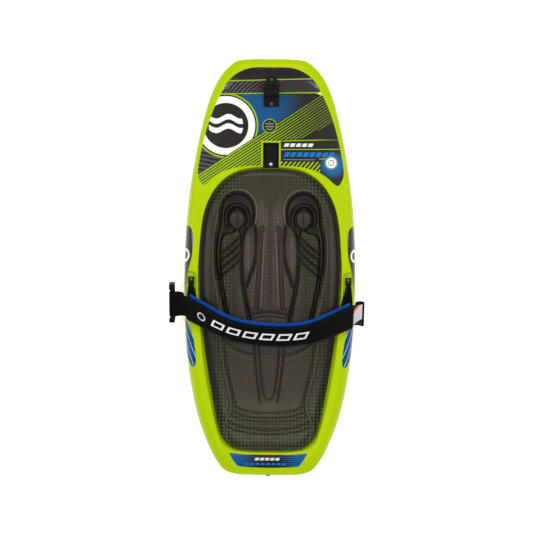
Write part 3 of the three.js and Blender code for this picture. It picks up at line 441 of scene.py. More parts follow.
def nose_print():
    paint = Paint("nose_print", INK, 0.2, specular=0.12, coat=0.3)
    x, y, _ = paint.axes()
    diagonal = (y - x * 0.66) * 0.8346
    over_diagonal = diagonal.above(359.5)
    roundel, badge, disc = (hypot(x - at[0], y - at[1]) for at in (ROUNDEL_AT, BADGE_AT, DISC_AT))
    # plain ink, with soft streaks in the top band
    band = y.between(531, 569)
    arcs = hypot(x - 60, y - 400).stripes(9.5, 0.34) * band * x.below(-8)
    paint.over(arcs * (x * -1).ease(-10, 90) * 0.8, srgb(104, 102, 112))
    hatch = (y + x * 0.6).stripes(4.2, 0.4) * band * x.above(24)
    paint.over(hatch * 0.4, srgb(96, 88, 86))
    # blue field with dark lines, between the roundel and the diagonal
    field = y.below(527) * over_diagonal * roundel.above(97) * x.above(-92)
    glow = (x * -1).ease(-115, 5)
    lines = y.stripes(6.1, 0.27) * -1 + 1
    paint.over(field * glow * lines, srgb(0, 88, 146))
    # grey bars below the roundel on the left
    left_bars = over_diagonal * y.below(372) * x.below(-150) * roundel.above(98)
    paint.over(left_bars * (y + x * 0.2).stripes(13, 0.42) * 0.6, srgb(92, 96, 106))
    # roundel: lime hairline, white ring, dark disc with plain waves
    paint.over(roundel.between(93, 97.5) * over_diagonal, LIME_PRINT)
    paint.over(roundel.between(68, 88.5) * over_diagonal, WHITE)
    wave = y - (x * 0.085).op("SINE") * 7
    waves = roundel.below(52) * (wave.near(452, 8) + wave.near(424, 8)).op("MINIMUM", 1.0)
    paint.over(waves, WHITE)
    # diagonal stripes, thinning towards the upper right
    stripes = (diagonal / 7.35).op("FRACT")
    share = x.ease(-170, 150) * -0.36 + 0.6
    fade = x.ease(0, 190) * -0.45 + 1
    right_low = (y - (x - 100) * 0.5).above(400)
    low = (x.below(28) + right_low * y.above(391)).op("MINIMUM", 1.0)
    paint.over(stripes.below(share) * diagonal.below(359.5) * low * fade, LIME_PRINT)
    # hairlines and the arrow
    paint.over((y - x * 0.033).near(570.5, 1.4), LIME_PRINT)
    paint.over((y - x * 0.02).near(530.3, 1.4) * x.below(140) * roundel.above(97), LIME_PRINT)
    arrow = (y - 531).op("ABSOLUTE") + (x - 152).op("ABSOLUTE") * 0.42
    paint.over(arrow.below(7) * x.between(120, 158), srgb(190, 236, 60))
    # right-hand panel: hairlines, plain bars, short stripes, disc on a blue corner
    panel = x.above(28) * y.below(392)
    paint.over(panel * (y - x * 0.035).near(385.8, 1.3), LIME_PRINT)
    paint.over(panel * (y - x * 0.012).near(361, 1.2) * x.below(208), LIME_PRINT)
    slant = x - y * 0.5
    white_bar = y.between(370, 380) * slant.between(-147, -56) * (slant + 147).stripes(18.2, 0.74)
    paint.over(white_bar, srgb(226, 226, 226))
    blue_bar = y.between(340, 353.5) * slant.between(-132, 20) * (slant + 132).stripes(19.25, 0.76)
    paint.over(blue_bar, srgb(0, 112, 186))
    paint.over(y.between(330, 332.5) * x.between(38, 134) * 0.6, srgb(150, 150, 150))
    short = y.below(325) * x.between(28, 150) * (x - y * 0.85).stripes(13.6, 0.44)
    paint.over(short * (x + (y - 325) * 0.4).below(146), LIME_PRINT)
    glow_at = hypot(x - 188, y - 315)
    paint.over((glow_at * -1).ease(-46, -20) * y.below(352), srgb(0, 96, 150))
    paint.over(y.near(334, 1.2) * x.between(146, 168), LIME_PRINT)
    paint.over(disc.below(19.5), LIME_PRINT)
    paint.over(disc.below(17.8), INK)
    paint.over(disc.below(16.2), WHITE)
    paint.over(disc.between(7.0, 9.0), srgb(70, 66, 64))
    # small badge with plain dashes
    paint.over(badge.below(21.5), LIME_PRINT)
    paint.over(badge.below(19.3), INK)
    dashes = badge.below(14) * y.stripes(8.4, 0.4)
    paint.over(dashes * 0.8, srgb(150, 160, 150))
    paint.roughness(paint.noise(60, 4), 0.13, 0.26)
    paint.bump(paint.noise(14, 2), 0.0008, 0.12)
    return paint.material


def tail_print():
    paint = Paint("tail_print", srgb(0, 94, 160), 0.22, specular=0.14, coat=0.12)
    x, y, _ = paint.axes()
    across = x.op("ABSOLUTE")
    share = (across * -1).ease(-112, -18) * 0.85 + 0.16
    paint.over(((y + 0.5) / 6.6).op("FRACT").below(share), INK)
    slant = x - (y + 582) * 0.4
    bars = y.between(-586, -578) * slant.between(-40, 38) * (slant + 40).stripes(15.6, 0.76)
    paint.over(bars, srgb(214, 214, 214))
    low_bars = y.between(-601, -594) * slant.between(-64, 64) * (slant + 64).stripes(16, 0.72)
    paint.over(low_bars, srgb(0, 104, 180))
    paint.roughness(paint.noise(60, 4), 0.14, 0.28)
    return paint.material


def side_print_front():
    paint = Paint("side_print_front", srgb(44, 41, 43), 0.24, specular=0.2, coat=0.1)
    x, y, z = paint.axes()
    paint.over((y * 0.7 + z).stripes(9, 0.25) * 0.35, srgb(100, 98, 102))
    across = x.op("ABSOLUTE") - SIDE_RING_AT[0]
    ring = hypot(hypot(y - SIDE_RING_AT[1], z - SIDE_RING_AT[2]), across)
    paint.over(ring.between(12.0, 21), LIME_PRINT)
    paint.over(ring.between(13.2, 19.6), WHITE)
    paint.roughness(paint.noise(60, 4), 0.14, 0.28)
    return paint.material


def side_print_rear():
    paint = Paint("side_print_rear", srgb(0, 98, 156), 0.24, specular=0.1, coat=0.05)
    x, y, z = paint.axes()
    outward = x.op("ABSOLUTE") - z * 0.8
    slanted = y * 0.5 - outward * 0.9
    paint.over(slanted.stripes(7.4, 0.5), srgb(16, 15, 18))
    paint.over(slanted.stripes(22.2, 0.09), srgb(206, 218, 228))
    paint.roughness(paint.noise(60, 4), 0.14, 0.28)
    return paint.material


def black_nylon():
    paint = Paint("black_nylon", srgb(9, 7, 6), 0.36, specular=0.08)
    paint.vary(paint.noise(40, 4), 0.85, 1.15)
    paint.roughness(paint.noise(150, 4), 0.32, 0.55)
    paint.bump(paint.noise(1500, 2), 0.00015, 0.4)
    return paint.material


def neoprene():
    paint = Paint("strap_neoprene", srgb(9, 7, 6), 0.85, specular=0.06)
    along, across = paint.uv()
    knit = (along * 4.2).op("SINE") * (across * 4.2).op("SINE")
    paint.vary(paint.noise(14, 4), 0.8, 1.2)
    paint.bump(knit, 0.00025, 0.35)
    # a stitched seam near each edge
    edge = across.op("ABSOLUTE").near(SEAM_AT, 0.8)
    thread = edge * along.stripes(3.6, 0.72)
    paint.over(thread, srgb(46, 42, 40))
    paint.bump(across.op("ABSOLUTE").near(SEAM_AT, 1.2) * -1 + thread * 1.6, 0.0007, 0.7)
    # plain slanted bars in white print
    slant = along - across * 0.35
    bars = across.between(-15, 15) * slant.between(95, 395) * slant.stripes(50, 0.78)
    hollow = across.between(-8.5, 8.5) * (slant - 6.5).stripes(50, 0.52)
    paint.over(bars * (hollow * -1 + 1), srgb(232, 232, 232))
    ring = hypot(along - 62, across)
    paint.over(ring.between(10.5, 14.5), srgb(210, 210, 210))
    return paint.material


def blue_foam():
    paint = Paint("liner_foam", srgb(0, 60, 136), 0.72, specular=0.1)
    paint.vary(paint.noise(30, 4), 0.85, 1.15)
    paint.bump(paint.noise(1100, 3, 0.6), 0.0004, 0.4)
    return paint.material


def webbing():
    paint = Paint("webbing", WARM_BLACK, 0.75, specular=0.06)
    along, across = paint.uv()
    ribs = (along * 2.9).op("SINE") + (across * 2.1).op("SINE") * 0.7
    paint.bump(ribs, 0.0004, 0.5)
    paint.vary(ribs * 0.3 + 0.5, 0.75, 1.25)
    return paint.material


def tag_cloth():
    paint = Paint("tag_cloth", srgb(196, 196, 200), 0.7, specular=0.3, sheen=0.2)
    along, across = paint.uv()
    weave = (along * 6).op("SINE") * (across * 6).op("SINE")
    paint.vary(weave * 0.5 + 0.5, 0.9, 1.05)
    # sewn on at a slant: the band runs up to the outer end, and black backing shows at two corners
    slanted = across - along
    paint.over(slanted.between(8, 19), ORANGE)
    paint.over(slanted.between(4.5, 6), WHITE)
    backing = slanted.above(20.5) + (across - along * 0.7).below(-33)
    paint.over(backing.op("MINIMUM", 1.0), WARM_BLACK)
    paint.bump(weave, 0.0002, 0.4)
    return paint.material


def steel():
    paint = Paint("stainless", (0.4, 0.39, 0.38, 1), 0.28, metallic=1.0)
    paint.roughness(paint.noise(200, 4, 0.6, (1, 1, 0.2)), 0.2, 0.42)
    return paint.material


def dark_steel():
    paint = Paint("black_oxide_steel", (0.05, 0.05, 0.05, 1), 0.4, metallic=0.6)
    paint.roughness(paint.noise(200, 4), 0.3, 0.5)
    return paint.material


def brass():
    paint = Paint("insert_brass", (0.62, 0.42, 0.14, 1), 0.35, metallic=1.0)
    paint.roughness(paint.noise(300, 3), 0.25, 0.5)
    return paint.material


def rubber():
    paint = Paint("seal_rubber", srgb(24, 23, 22), 0.7, specular=0.3)
    paint.bump(paint.noise(900, 3), 0.0002, 0.3)
    return paint.material


def core_foam():
    paint = Paint("core_foam", srgb(226, 212, 168), 0.9, specular=0.2)
    paint.bump(paint.noise(500, 4, 0.7), 0.0015, 0.6)
    return paint.material


def floor_white():
    paint = Paint("floor_white", (0.96, 0.96, 0.96, 1), 0.9, specular=0.1)
    paint.vary(paint.noise(2, 2), 0.99, 1.01)
    paint.set("Emission Color", (1, 1, 1, 1))
    paint.set("Emission Strength", 0.35)
    return paint.material


# ----- Shell and its graphic films -----


# Cutters, each a plan box of (x0, x1, y0, y1) or an outline, with a height to cut down or up to
POCKET_BOX, POCKET_CORNER, POCKET_FLOOR = (222, 290, -112, -10), 14, 82
TRAY_BOX, TRAY_SEAT = (-24.5, 24.5, 305.7, 382.3), 80
PLATE_BOX, PLATE_SEAT = (-64.3, 64.3, -229.3, -34.7), 4.8
FIN_BOX, FIN_BOX_TOP = (-52.3, 52.3, -217.3, -46.7), 75
CUT_CORNER = 2
ABOVE, BELOW = 160, -20
RIM_ROUND = 1.2
FILM_LIFT = 0.35
RAY_FROM = 0.4  # metres, over everything on the deck


def pocket_outline(side):
    x0, x1, y0, y1 = POCKET_BOX
    corner = arc((x0 + POCKET_CORNER, y1 - POCKET_CORNER), POCKET_CORNER, 90, 180, 9)
    return [(side * x, y) for x, y in [(x0, y0), (x1, y0), (x1, y1), *corner]]


def rounded_rectangle(x0, x1, y0, y1, radius):
    corners = [(x1 - radius, y1 - radius, 0), (x0 + radius, y1 - radius, 90),
               (x0 + radius, y0 + radius, 180), (x1 - radius, y0 + radius, 270)]
    return [point for x, y, start in corners for point in arc((x, y), radius, start, start + 90, 6)]


def make_shell(material):
    """Makes the shell, and returns a tree of its surface as it was before anything was cut out."""
    body = mesh_object("shell_body", *board_body(8), material)
    work = bmesh.new()
    work.from_mesh(body.data)
    surface = BVHTree.FromBMesh(work)
    work.free()
    tools = [
        cutter("cut_left", pocket_outline(-1), POCKET_FLOOR, ABOVE),
        cutter("cut_right", pocket_outline(1), POCKET_FLOOR, ABOVE),
        cutter("cut_tray", rounded_rectangle(*TRAY_BOX, CUT_CORNER), TRAY_SEAT, ABOVE),
        cutter("cut_plate", rounded_rectangle(*PLATE_BOX, CUT_CORNER), BELOW, PLATE_SEAT),
        cutter("cut_box", rectangle(*FIN_BOX), BELOW, FIN_BOX_TOP),
    ]
    cut_with(body, tools)
    body.data.set_sharp_from_angle(angle=math.radians(38))
    round_edges(body, RIM_ROUND, 2, 50)
    stand_in(body, "shell", "board")
    return surface


def slice_flat(work, axis, value):
    """Cuts a flat mesh along the line where X, axis 0, or Y, axis 1, has that value."""
    normal = Vector((1 - axis, axis, 0))
    everything = work.verts[:] + work.edges[:] + work.faces[:]
    bmesh.ops.bisect_plane(work, geom=everything, dist=1e-4, plane_co=normal * value, plane_no=normal)


def lay_on(surface, x, y):
    """The film's point over a place in plan, in millimetres, just clear of the surface."""
    hit, normal, _, _ = surface.ray_cast(Vector((x * MM, y * MM, RAY_FROM)), Vector((0, 0, -1)))
    if hit is None:
        hit, normal, _, _ = surface.find_nearest(Vector((x * MM, y * MM, 0.06)))
    return (hit + normal * FILM_LIFT * MM) / MM


def finish_film(name, verts, faces, material, slot):
    """Makes a film that faces up, in place of the CAD node of the same graphic."""
    obj = mesh_object(name, verts, faces, material, merge=0)
    if sum(face.normal.z for face in obj.data.polygons) < 0:
        obj.data.flip_normals()
    stand_in(obj, name.replace("film", "graphic"), "board")


def film(name, outline, surface, material, step, hole=None):
    """A film that follows the shell inside a plan outline."""
    work = bmesh.new()
    work.faces.new([work.verts.new((x, y, 0)) for x, y in outline])
    for axis in (0, 1):
        values = [point[axis] for point in outline]
        for value in np.arange(min(values) + step, max(values), step):
            slice_flat(work, axis, value)
    if hole:
        x0, x1, y0, y1 = hole
        for axis, value in ((0, x0), (0, x1), (1, y0), (1, y1)):
            slice_flat(work, axis, value)
        inside = [f for f in work.faces
                  if x0 < f.calc_center_median().x < x1 and y0 < f.calc_center_median().y < y1]
        bmesh.ops.delete(work, geom=inside, context="FACES")
    bmesh.ops.triangulate(work, faces=[f for f in work.faces if len(f.verts) > 4])
    work.verts.index_update()
    verts = [lay_on(surface, vert.co.x, vert.co.y) for vert in work.verts]
    faces = [[vert.index for vert in face.verts] for face in work.faces]
    work.free()
    finish_film(name, verts, faces, material, "black_film")


NOSE_FILM = [
    (0, 608), (35, 608), (60, 606.5), (90, 597), (118, 579), (139, 554), (157, 520), (176, 478), (191, 435),
    (201, 400), (210, 362), (217, 325), (221, 296), (219, 276), (213, 262), (205, 253), (197, 255),
    (187, 263), (172, 276), (152, 289.5), (128, 300), (100, 307), (66, 311), (30, 312),
]
TAIL_FILM = [
    (0, -568.5), (60, -568), (90, -566.5), (117, -563), (119, -566), (106, -588), (95, -603), (88, -605.5),
    (50, -608.5), (0, -609.5),
]
FRONT_INNER = [
    (255, 131), (247, 128), (240, 121), (235.5, 110), (234, 92), (234, 70), (237.5, 35), (245, 7),
    (251, -20), (254.5, -55), (258, -85), (261, -92),
]
FRONT_OUTER = [(300, 131), (300, -92)]
REAR_INNER = [
    (258, -158), (251, -161), (244, -172), (237, -187), (230, -215), (225, -245), (221.5, -275), (223, -292),
    (226, -299), (229, -301.5),
]
REAR_OUTER = [(300, -158), (300, -268), (249, -270), (244, -282), (238, -295), (233, -300), (229.5, -301.5)]
TRAY_HOLE = (-29.2, 29.2, 299, 387)


def smoothed(outline, steps):
    return [tuple(p) for p in catmull(outline, np.arange(len(outline) * steps) / steps)]


def rail_film(name, inner, outer, side, surface, material, slot):
    """A film on the rail, from an inner line to an outer one or the board's edge, listed by falling y."""
    edge = catmull(closed(BOARD_OUTLINE), np.linspace(6, 14, 641))
    y = np.linspace(inner[0][1], inner[-1][1], 121)

    def across(points):
        order = sorted(points, key=lambda point: point[1])
        return np.interp(y, [p[1] for p in order], [p[0] for p in order])

    limit = np.minimum(across([tuple(p) for p in edge]) - 0.03, across(outer))
    start = np.minimum(across(inner), limit - 0.01)
    rows = [[lay_on(surface, *place) for place in zip(side * (start + (limit - start) * t), y)]
            for t in 1 - (1 - np.linspace(0, 1, 31)) ** 2.2]
    finish_film(name, *grid_mesh(np.array(rows)), material, slot)


# ----- Kneeling pad -----

# The pad's relief on its right-hand side, mirrored to the left, in millimetres. The knee and shin lie in
# a hollow with a steep rim, and the shin pad stands up again inside it, which leaves a channel all round.
HOLLOW = [
    (48, 128), (42, 160), (45, 194), (58, 219), (80, 233), (106, 236), (131, 227), (150, 206), (157, 170),
    (160, 135), (168, 95), (171, 45), (168, -5), (159, -55), (149, -105), (140, -150), (133, -215),
    (62, -215), (50, -165), (58, -115), (67, -70), (74, -25), (77, 30), (75, 80), (66, 112),
]
SHIN_PAD = [
    (101, 124), (88, 112), (85, 70), (86, 20), (83, -30), (76, -75), (68, -120), (60, -165), (66, -213),
    (120, -213), (127, -150), (136, -105), (145, -55), (153, 0), (155, 50), (151, 88), (138, 108), (116, 112),
]
HOLLOW_DEPTH, HOLLOW_WALL, SHIN_RISE, SHIN_WALL = 10, 15, 8, 9
# Lines of relief: points, half-width and rise. A groove's rise is negative.
RIDGE_LINES = [
    # the rim round the hollow, on down beside the seat
    ([(48, 128), (40, 165), (43, 197), (57, 223), (80, 237), (106, 240), (133, 230), (154, 207), (161, 170),
      (165, 132), (173, 92), (175, 42), (172, -8), (163, -60), (154, -110), (147, -160), (148, -228),
      (142, -284), (122, -375), (112, -418), (122, -445), (136, -478), (131, -510), (118, -530)], 3.2, 2.6),
    # the thick ring round the knee cup
    ([(69, 130), (65, 152), (71, 174), (85, 189), (102, 193), (119, 188), (132, 173), (136, 152), (131, 130)],
     5.4, 6.5),
    # the cup's disc, down to its point
    ([(101, 166), (101, 146), (101, 128)], 15, 4.0),
    ([(38, 110), (41, -10), (48, -60), (50, -120)], 3.0, 1.8),
    # the lens beside the shin, and the middle channels' shoulders
    ([(61, 95), (59, 40), (64, -5)], 7.0, 1.0),
    ([(18, 110), (21, 30), (25, -40), (28, -120)], 3.5, 2.2),
]
LENS_EDGE = [
    # the edge of the middle panel, which bulges over the shin's upper half
    ([(47, 128), (42, 95), (41, 50), (46, 15), (58, -20), (70, -55)], 3.8, -6.5),
]
FINE_LINES = [
    # the gap between the ring and the disc
    ([(82, 128), (75, 146), (78, 167), (91, 181), (101, 183), (111, 181), (124, 167), (127, 146), (120, 128),
      (101, 110), (82, 128)], 2.4, -4.2),
    # slanted grooves on the shin pad
    *[([(150, y - 48), (118, y - 24), (93, y + 2)], 2.5, -4.0) for y in (92, 70, 46, 22)],
    *[([(150, y - 38), (118, y - 14), (95, y + 8)], 2.6, 2.2) for y in (92, 70, 46, 22)],
    # narrow channel each side of the middle
    ([(23, 127), (27, 40), (31, -40), (36, -124)], 2.0, -3.4),
    ([(32, 122), (36, 40), (40, -40), (45, -121), (41, -128), (36, -124)], 2.0, -3.4),
    # the V of the seat
    ([(140, -214), (112, -238), (82, -254), (48, -262)], 2.5, -4.2),
    ([(134, -224), (108, -247), (80, -261), (50, -268)], 2.2, 1.6),
    # the rear channel
    ([(47, -222), (41, -300), (34, -350), (27, -404)], 2.1, -3.6),
    ([(33, -222), (27, -300), (22, -345), (17, -384), (8, -398), (0, -400)], 2.1, -3.4),
    ([(40, -222), (34, -300), (28, -350)], 3.0, 1.0),
    # inside the side rims of the seat
    ([(136, -232), (131, -284), (111, -372), (101, -414)], 2.0, -2.4),
    # curved grooves across the tail end
    ([(0, -440), (45, -438), (78, -431), (103, -419)], 2.0, -3.4),
    ([(0, -457), (50, -455), (84, -448), (108, -436)], 1.8, -2.8),
    ([(0, -468), (52, -466), (88, -459), (116, -446)], 1.8, -3.0),
    ([(0, -492), (56, -489), (96, -481), (126, -466)], 1.8, -2.8),
    ([(0, -504), (60, -501), (100, -492), (124, -482)], 1.8, -3.0),
    ([(0, -448), (48, -446), (82, -439), (106, -427)], 3.0, 1.2),
    ([(0, -480), (56, -477), (92, -470), (122, -456)], 4.0, 1.2),
    # arc ahead of the strap
    ([(0, -134), (34, -136), (58, -146)], 2.4, -3.2),
    ([(0, -146), (30, -148), (52, -157)], 1.8, -2.4),
]
DISH_DEPTH, SHIN_DEPTH, SEAT_DEPTH, MIDDLE_RISE = 5, 3, 4, 3
PAD_SAMPLES = 24  # from knot to knot
PAD_GAP, PAD_BASE = 0.6, 0.5  # inside the recess's wall, and over its floor
EDGE_RINGS = (0, 0.4, 1, 1.9, 3, 4.5, 6.5, 9, 12, 15, 18, 21, 24, 27, 30)  # distances inboard
FIRST_INNER, PAD_INNER_RINGS = 33, 104


def rounded(points):
    """The same line with its corners cut twice."""
    for _ in range(2):
        corners = [((a * 3 + c) / 4, (b * 3 + d) / 4, (a + c * 3) / 4, (b + d * 3) / 4)
                   for (a, b), (c, d) in zip(points, points[1:])]
        points = [points[0], *[p for a, b, c, d in corners for p in ((a, b), (c, d))], points[-1]]
    return points


def line_distance(x, y, points):
    best = np.full(x.shape, 1e9)
    for (ax, ay), (bx, by) in zip(points, points[1:]):
        dx, dy = bx - ax, by - ay
        t = np.clip(((x - ax) * dx + (y - ay) * dy) / (dx * dx + dy * dy), 0, 1)
        best = np.minimum(best, np.hypot(x - ax - t * dx, y - ay - t * dy))
    return best


def inside_depth(x, y, outline):
    """Distance in from the edge of a closed outline, and 0 outside it."""
    inside = np.zeros(x.shape, bool)
    outline = smoothed(outline, 3)
    for (ax, ay), (bx, by) in zip(outline, outline[1:] + outline[:1]):
        if ay != by:
            inside ^= ((ay > y) != (by > y)) & (x < ax + (bx - ax) * (y - ay) / (by - ay))
    return np.where(inside, line_distance(x, y, outline + outline[:1]), 0)


def bump_shape(distance, width):
    return np.exp(-((distance / width) ** 2))


def relief(x, y, lines):
    """The strongest rise of the lines near each point, so lines that cross or meet don't add up."""
    total = np.zeros(x.shape)
    for points, width, rise in lines:
        value = rise * bump_shape(line_distance(np.abs(x), y, rounded(points)), width)
        total = np.minimum(total, value) if rise < 0 else np.maximum(total, value)
    return total


def pad_height(x, y, inboard):
    """Height of the pad's top, by the CAD's rule with finer relief added, and the rise of that relief."""
    across = np.abs(x)
    crown = roll(inboard, PAD_CROWN_AT)
    well = bump_shape(np.hypot(across - 100, (y - 160) / 1.15), 58)
    shin = bump_shape(across - 104, 34) * smooth(ramp(-y, -130, -60)) * (1 - smooth(ramp(-y, 120, 230)))
    middle = bump_shape(across, 26) * smooth(ramp(240 - y, 0, 80)) * (1 - smooth(ramp(-y, 380, 460)))
    seat = bump_shape(np.hypot(x / 1.5, (y + 330) / 1.3), 95)
    broad = MIDDLE_RISE * middle - DISH_DEPTH * well - SHIN_DEPTH * shin - SEAT_DEPTH * seat
    rises = [line for line in FINE_LINES if line[2] > 0]
    grooves = [line for line in FINE_LINES if line[2] < 0]
    fine = sum(relief(x, y, lines) for lines in (LENS_EDGE, RIDGE_LINES, rises, grooves))
    fine -= HOLLOW_DEPTH * smooth(inside_depth(across, y, HOLLOW) / HOLLOW_WALL)
    fine += SHIN_RISE * smooth(inside_depth(across, y, SHIN_PAD) / SHIN_WALL)
    height = PAD_EDGE + (PAD_THICKNESS - PAD_EDGE) * crown + crown * (broad + fine)
    return deck_height(y) - RECESS_DEPTH + height, crown * fine


def make_pad(material):
    knots = np.arange(KNOTS * PAD_SAMPLES) / PAD_SAMPLES
    edge = catmull(closed(PAD_OUTLINE), knots)
    middle = spine(edge)
    inward = middle - edge
    length = np.linalg.norm(inward, axis=1)
    inward /= length[:, None]
    edge += inward * PAD_GAP
    rings = [np.column_stack([edge, deck_height(edge[:, 1]) - RECESS_DEPTH + PAD_BASE])]
    shades = [np.zeros(len(edge))]
    places = [np.full(len(edge), float(distance)) for distance in EDGE_RINGS]
    left = length - FIRST_INNER - PAD_GAP
    places += [FIRST_INNER + left * share for share in np.linspace(0, 1, PAD_INNER_RINGS)]
    for inboard in places:
        p = edge + inward * inboard[:, None]
        height, shade = pad_height(p[:, 0], p[:, 1], inboard)
        rings.append(np.column_stack([p, height]))
        shades.append(shade)
    obj = mesh_object("knee_pad_foam", *grid_mesh(np.array(rings), wrap=True), material, merge=0)
    # the relief's rise, which the foam's material uses for painted shade in its hollows and painted highlight
    # on its ridges
    shade = obj.data.attributes.new("relief", "FLOAT", "POINT")
    shade.data.foreach_set("value", np.concatenate(shades))
    stand_in(obj, "knee_pad", "board")


# ----- Strap -----

STRAP_SPAN, STRAP_RISE, STRAP_Y, STRAP_SKEW, STRAP_Z = 250, 95, -128, -0.046, 131
WEBBING, COVER, LINER, LAYER_GAP = 2.4, 4, 11, 0.8
RING_AT, RIGHT_LOOP, LOOP_RADIUS = (-296, -20), (279, -20), 6.6
WEBBING_HALF, COVER_HALF, LINER_HALF, TAG_HALF = 38, 44, 46.5, 34
TAG_THICKNESS = 0.8
TAG_PATH = [(252, -1.2), (262, -7), (270, -11), (279, -12.5)]
THINNEST_END, END_NARROWING = 0.25, 0.03
# The side webs' middle line, x, y and z, and their half-width
SIDE_WEB = [
    (239, -54, 93.2, 8), (238, -70, 96, 11), (236, -86, 102, 14), (234, -108, 108, 18), (232, -126, 111, 21),
]
SIDE_WEB_ROWS, SIDE_WEB_COLUMNS = 41, 9


def strap_tilt(x):
    across = np.abs(x)
    degrees = 47 - 12 * smooth((across - 100) / 150) - 20 * smooth((across - STRAP_SPAN) / 45)
    return np.radians(degrees)


def strap_middle(path):
    x, h = path[:, 0], path[:, 1]
    tilt = strap_tilt(x)
    return np.stack([x, STRAP_Y + STRAP_SKEW * x - h * np.sin(tilt), STRAP_Z + h * np.cos(tilt)], axis=1)


def arch(reach, count):
    x = np.linspace(-reach, reach, count)
    return np.stack([x, STRAP_RISE * (1 - np.abs(x / STRAP_SPAN) ** 2.25)], axis=1)


def lengths_along(points):
    gaps = np.linalg.norm(np.diff(points, axis=0), axis=1)
    return np.concatenate([[0], np.cumsum(gaps)])


def resample(path, step):
    along = lengths_along(path)
    places = np.linspace(0, along[-1], max(2, int(along[-1] / step)) + 1)
    return np.stack([np.interp(places, along, path[:, k]) for k in range(2)], axis=1)


def relax(path, rounds):
    path = path.copy()
    for _ in range(rounds):
        path[1:-1] = path[1:-1] * 0.5 + (path[:-2] + path[2:]) * 0.25
    return path


def add_uv(obj, places):
    """A UV layer with one place, in metres, for each vertex."""
    layer = obj.data.uv_layers.new(name="along_and_across")
    for loop in obj.data.loops:
        layer.data[loop.index].uv = places[loop.vertex_index]


def sweep(name, path, section, material, taper=0.0):
    """A band whose section of (across, outward) points follows the path. Its ends thin over the taper."""
    middle = strap_middle(path)
    tangent = np.gradient(middle, axis=0)
    tilt = strap_tilt(path[:, 0])
    across = np.stack([np.zeros(len(path)), np.cos(tilt), np.sin(tilt)], axis=1)
    normal = np.cross(tangent, across)
    normal /= np.linalg.norm(normal, axis=1)[:, None]
    along = lengths_along(middle)
    core = np.mean([n for _, n in section])
    rows = []
    places = []
    for i in range(len(path)):
        left = min(along[i], along[-1] - along[i])
        shrink = math.sqrt(1 - (1 - left / taper) ** 2) if left < taper else 1.0
        shrink = max(shrink, THINNEST_END)
        narrow = 1 - END_NARROWING * (1 - shrink)
        rows.append([middle[i] + across[i] * w * narrow + normal[i] * (core + (n - core) * shrink)
                     for w, n in section])
        places += [(along[i] * MM, w * MM) for w, _ in section]
    verts, faces = grid_mesh(np.array(rows), wrap=True)
    columns = len(section)
    faces.append(tuple(range(columns)))
    faces.append(tuple(range((len(path) - 1) * columns, len(path) * columns))[::-1])
    obj = mesh_object(name, verts, faces, material, sharp=60, merge=0)
    add_uv(obj, places)
    return obj


def rounded_section(half_width, low, high, radius, columns=14, crown=0.0):
    """A flat band's cross-section with rounded edges, and a face that swells outwards by crown."""
    flat = half_width - radius
    middle, half = (low + high) / 2, (high - low) / 2
    across = [2 * flat * i / columns - flat for i in range(columns + 1)]
    angles = [math.pi / 2 - math.pi * i / 6 for i in range(1, 6)]
    points = [(w, high + crown * (1 - (w / half_width) ** 2)) for w in across]
    points += [(flat + radius * math.cos(a), middle + half * math.sin(a)) for a in angles]
    points += [(-w, low) for w in across]
    points += [(-flat - radius * math.cos(a), middle - half * math.sin(a)) for a in angles]
    return points


def make_strap(paints):
    """The webbing, the cover over it, the liner under it and the tag at its right-hand end."""
    half = WEBBING / 2
    left_loop = arc(RING_AT, LOOP_RADIUS, -80, -250, 14)
    right_loop = arc(RIGHT_LOOP, LOOP_RADIUS, 60, -95, 12)
    path = relax(resample(np.vstack([
        [(-258, -17), (-274, -24)], left_loop, [(-276, -12.5), (-262, -7)], arch(STRAP_SPAN, 101),
        [(262, -7), (270, -11)], right_loop, [(268, -24), (258, -17)],
    ]), 1.2), 1)
    section = rounded_section(WEBBING_HALF, -half, half, 1.1)
    web = sweep("strap_webbing_woven", path, section, paints["webbing"])
    low = half + LAYER_GAP
    section = rounded_section(COVER_HALF, low, low + COVER, 2.2, crown=0.8)
    cover = sweep("strap_cover_sewn", arch(STRAP_SPAN - 1, 161), section, paints["neoprene"], 6)
    high = -half - LAYER_GAP
    section = rounded_section(LINER_HALF, high - LINER, high, 5.0)
    liner = sweep("strap_liner_foam", arch(STRAP_SPAN - 5, 161), section, paints["liner"], 8)
    section = rounded_section(TAG_HALF, low, low + TAG_THICKNESS, 0.4)
    tag = sweep("strap_tag_woven", relax(resample(np.array(TAG_PATH), 1.0), 3), section, paints["tag"])
    stand_in(web, "strap_webbing", "strap")
    stand_in(cover, "strap_cover", "strap")
    stand_in(liner, "strap_liner", "strap")
    stand_in(tag, "strap_tag", "strap")


def make_side_webs(paints):
    """The two webs that run from the anchors' links up under the strap's ends."""
    middle = np.array(SIDE_WEB)
    places = np.linspace(0, len(middle) - 1, SIDE_WEB_ROWS)
    fine = np.stack([np.interp(places, range(len(middle)), middle[:, k]) for k in range(4)], axis=1)
    last, width = SIDE_WEB_ROWS - 1, SIDE_WEB_COLUMNS
    rim = [width * i for i in range(last + 1)] + [width * last + j for j in range(1, width)]
    rim += [width * i + width - 1 for i in range(last - 1, -1, -1)] + list(range(width - 2, 0, -1))
    for name, side in (("left", -1), ("right", 1)):
        rows = np.array([[(side * (x + w * half), y, z) for w in np.linspace(-1, 1, width)]
                         for x, y, z, half in fine])
        verts, faces = grid_mesh(rows)
        count = len(verts)
        faces = faces + [tuple(i + count for i in reversed(f)) for f in faces]
        faces += [(a, b, b + count, a + count) for a, b in zip(rim, rim[1:] + rim[:1])]
        both = np.vstack([verts, verts + (0, 0, WEBBING)])
        obj = mesh_object(f"side_web_{name}_woven", both, faces, paints["webbing"], sharp=50)
        add_uv(obj, [(vert.co.y, vert.co.x) for vert in obj.data.vertices])
        stand_in(obj, f"side_web_{name}", "strap")


# ----- CAD nodes that keep their shape -----


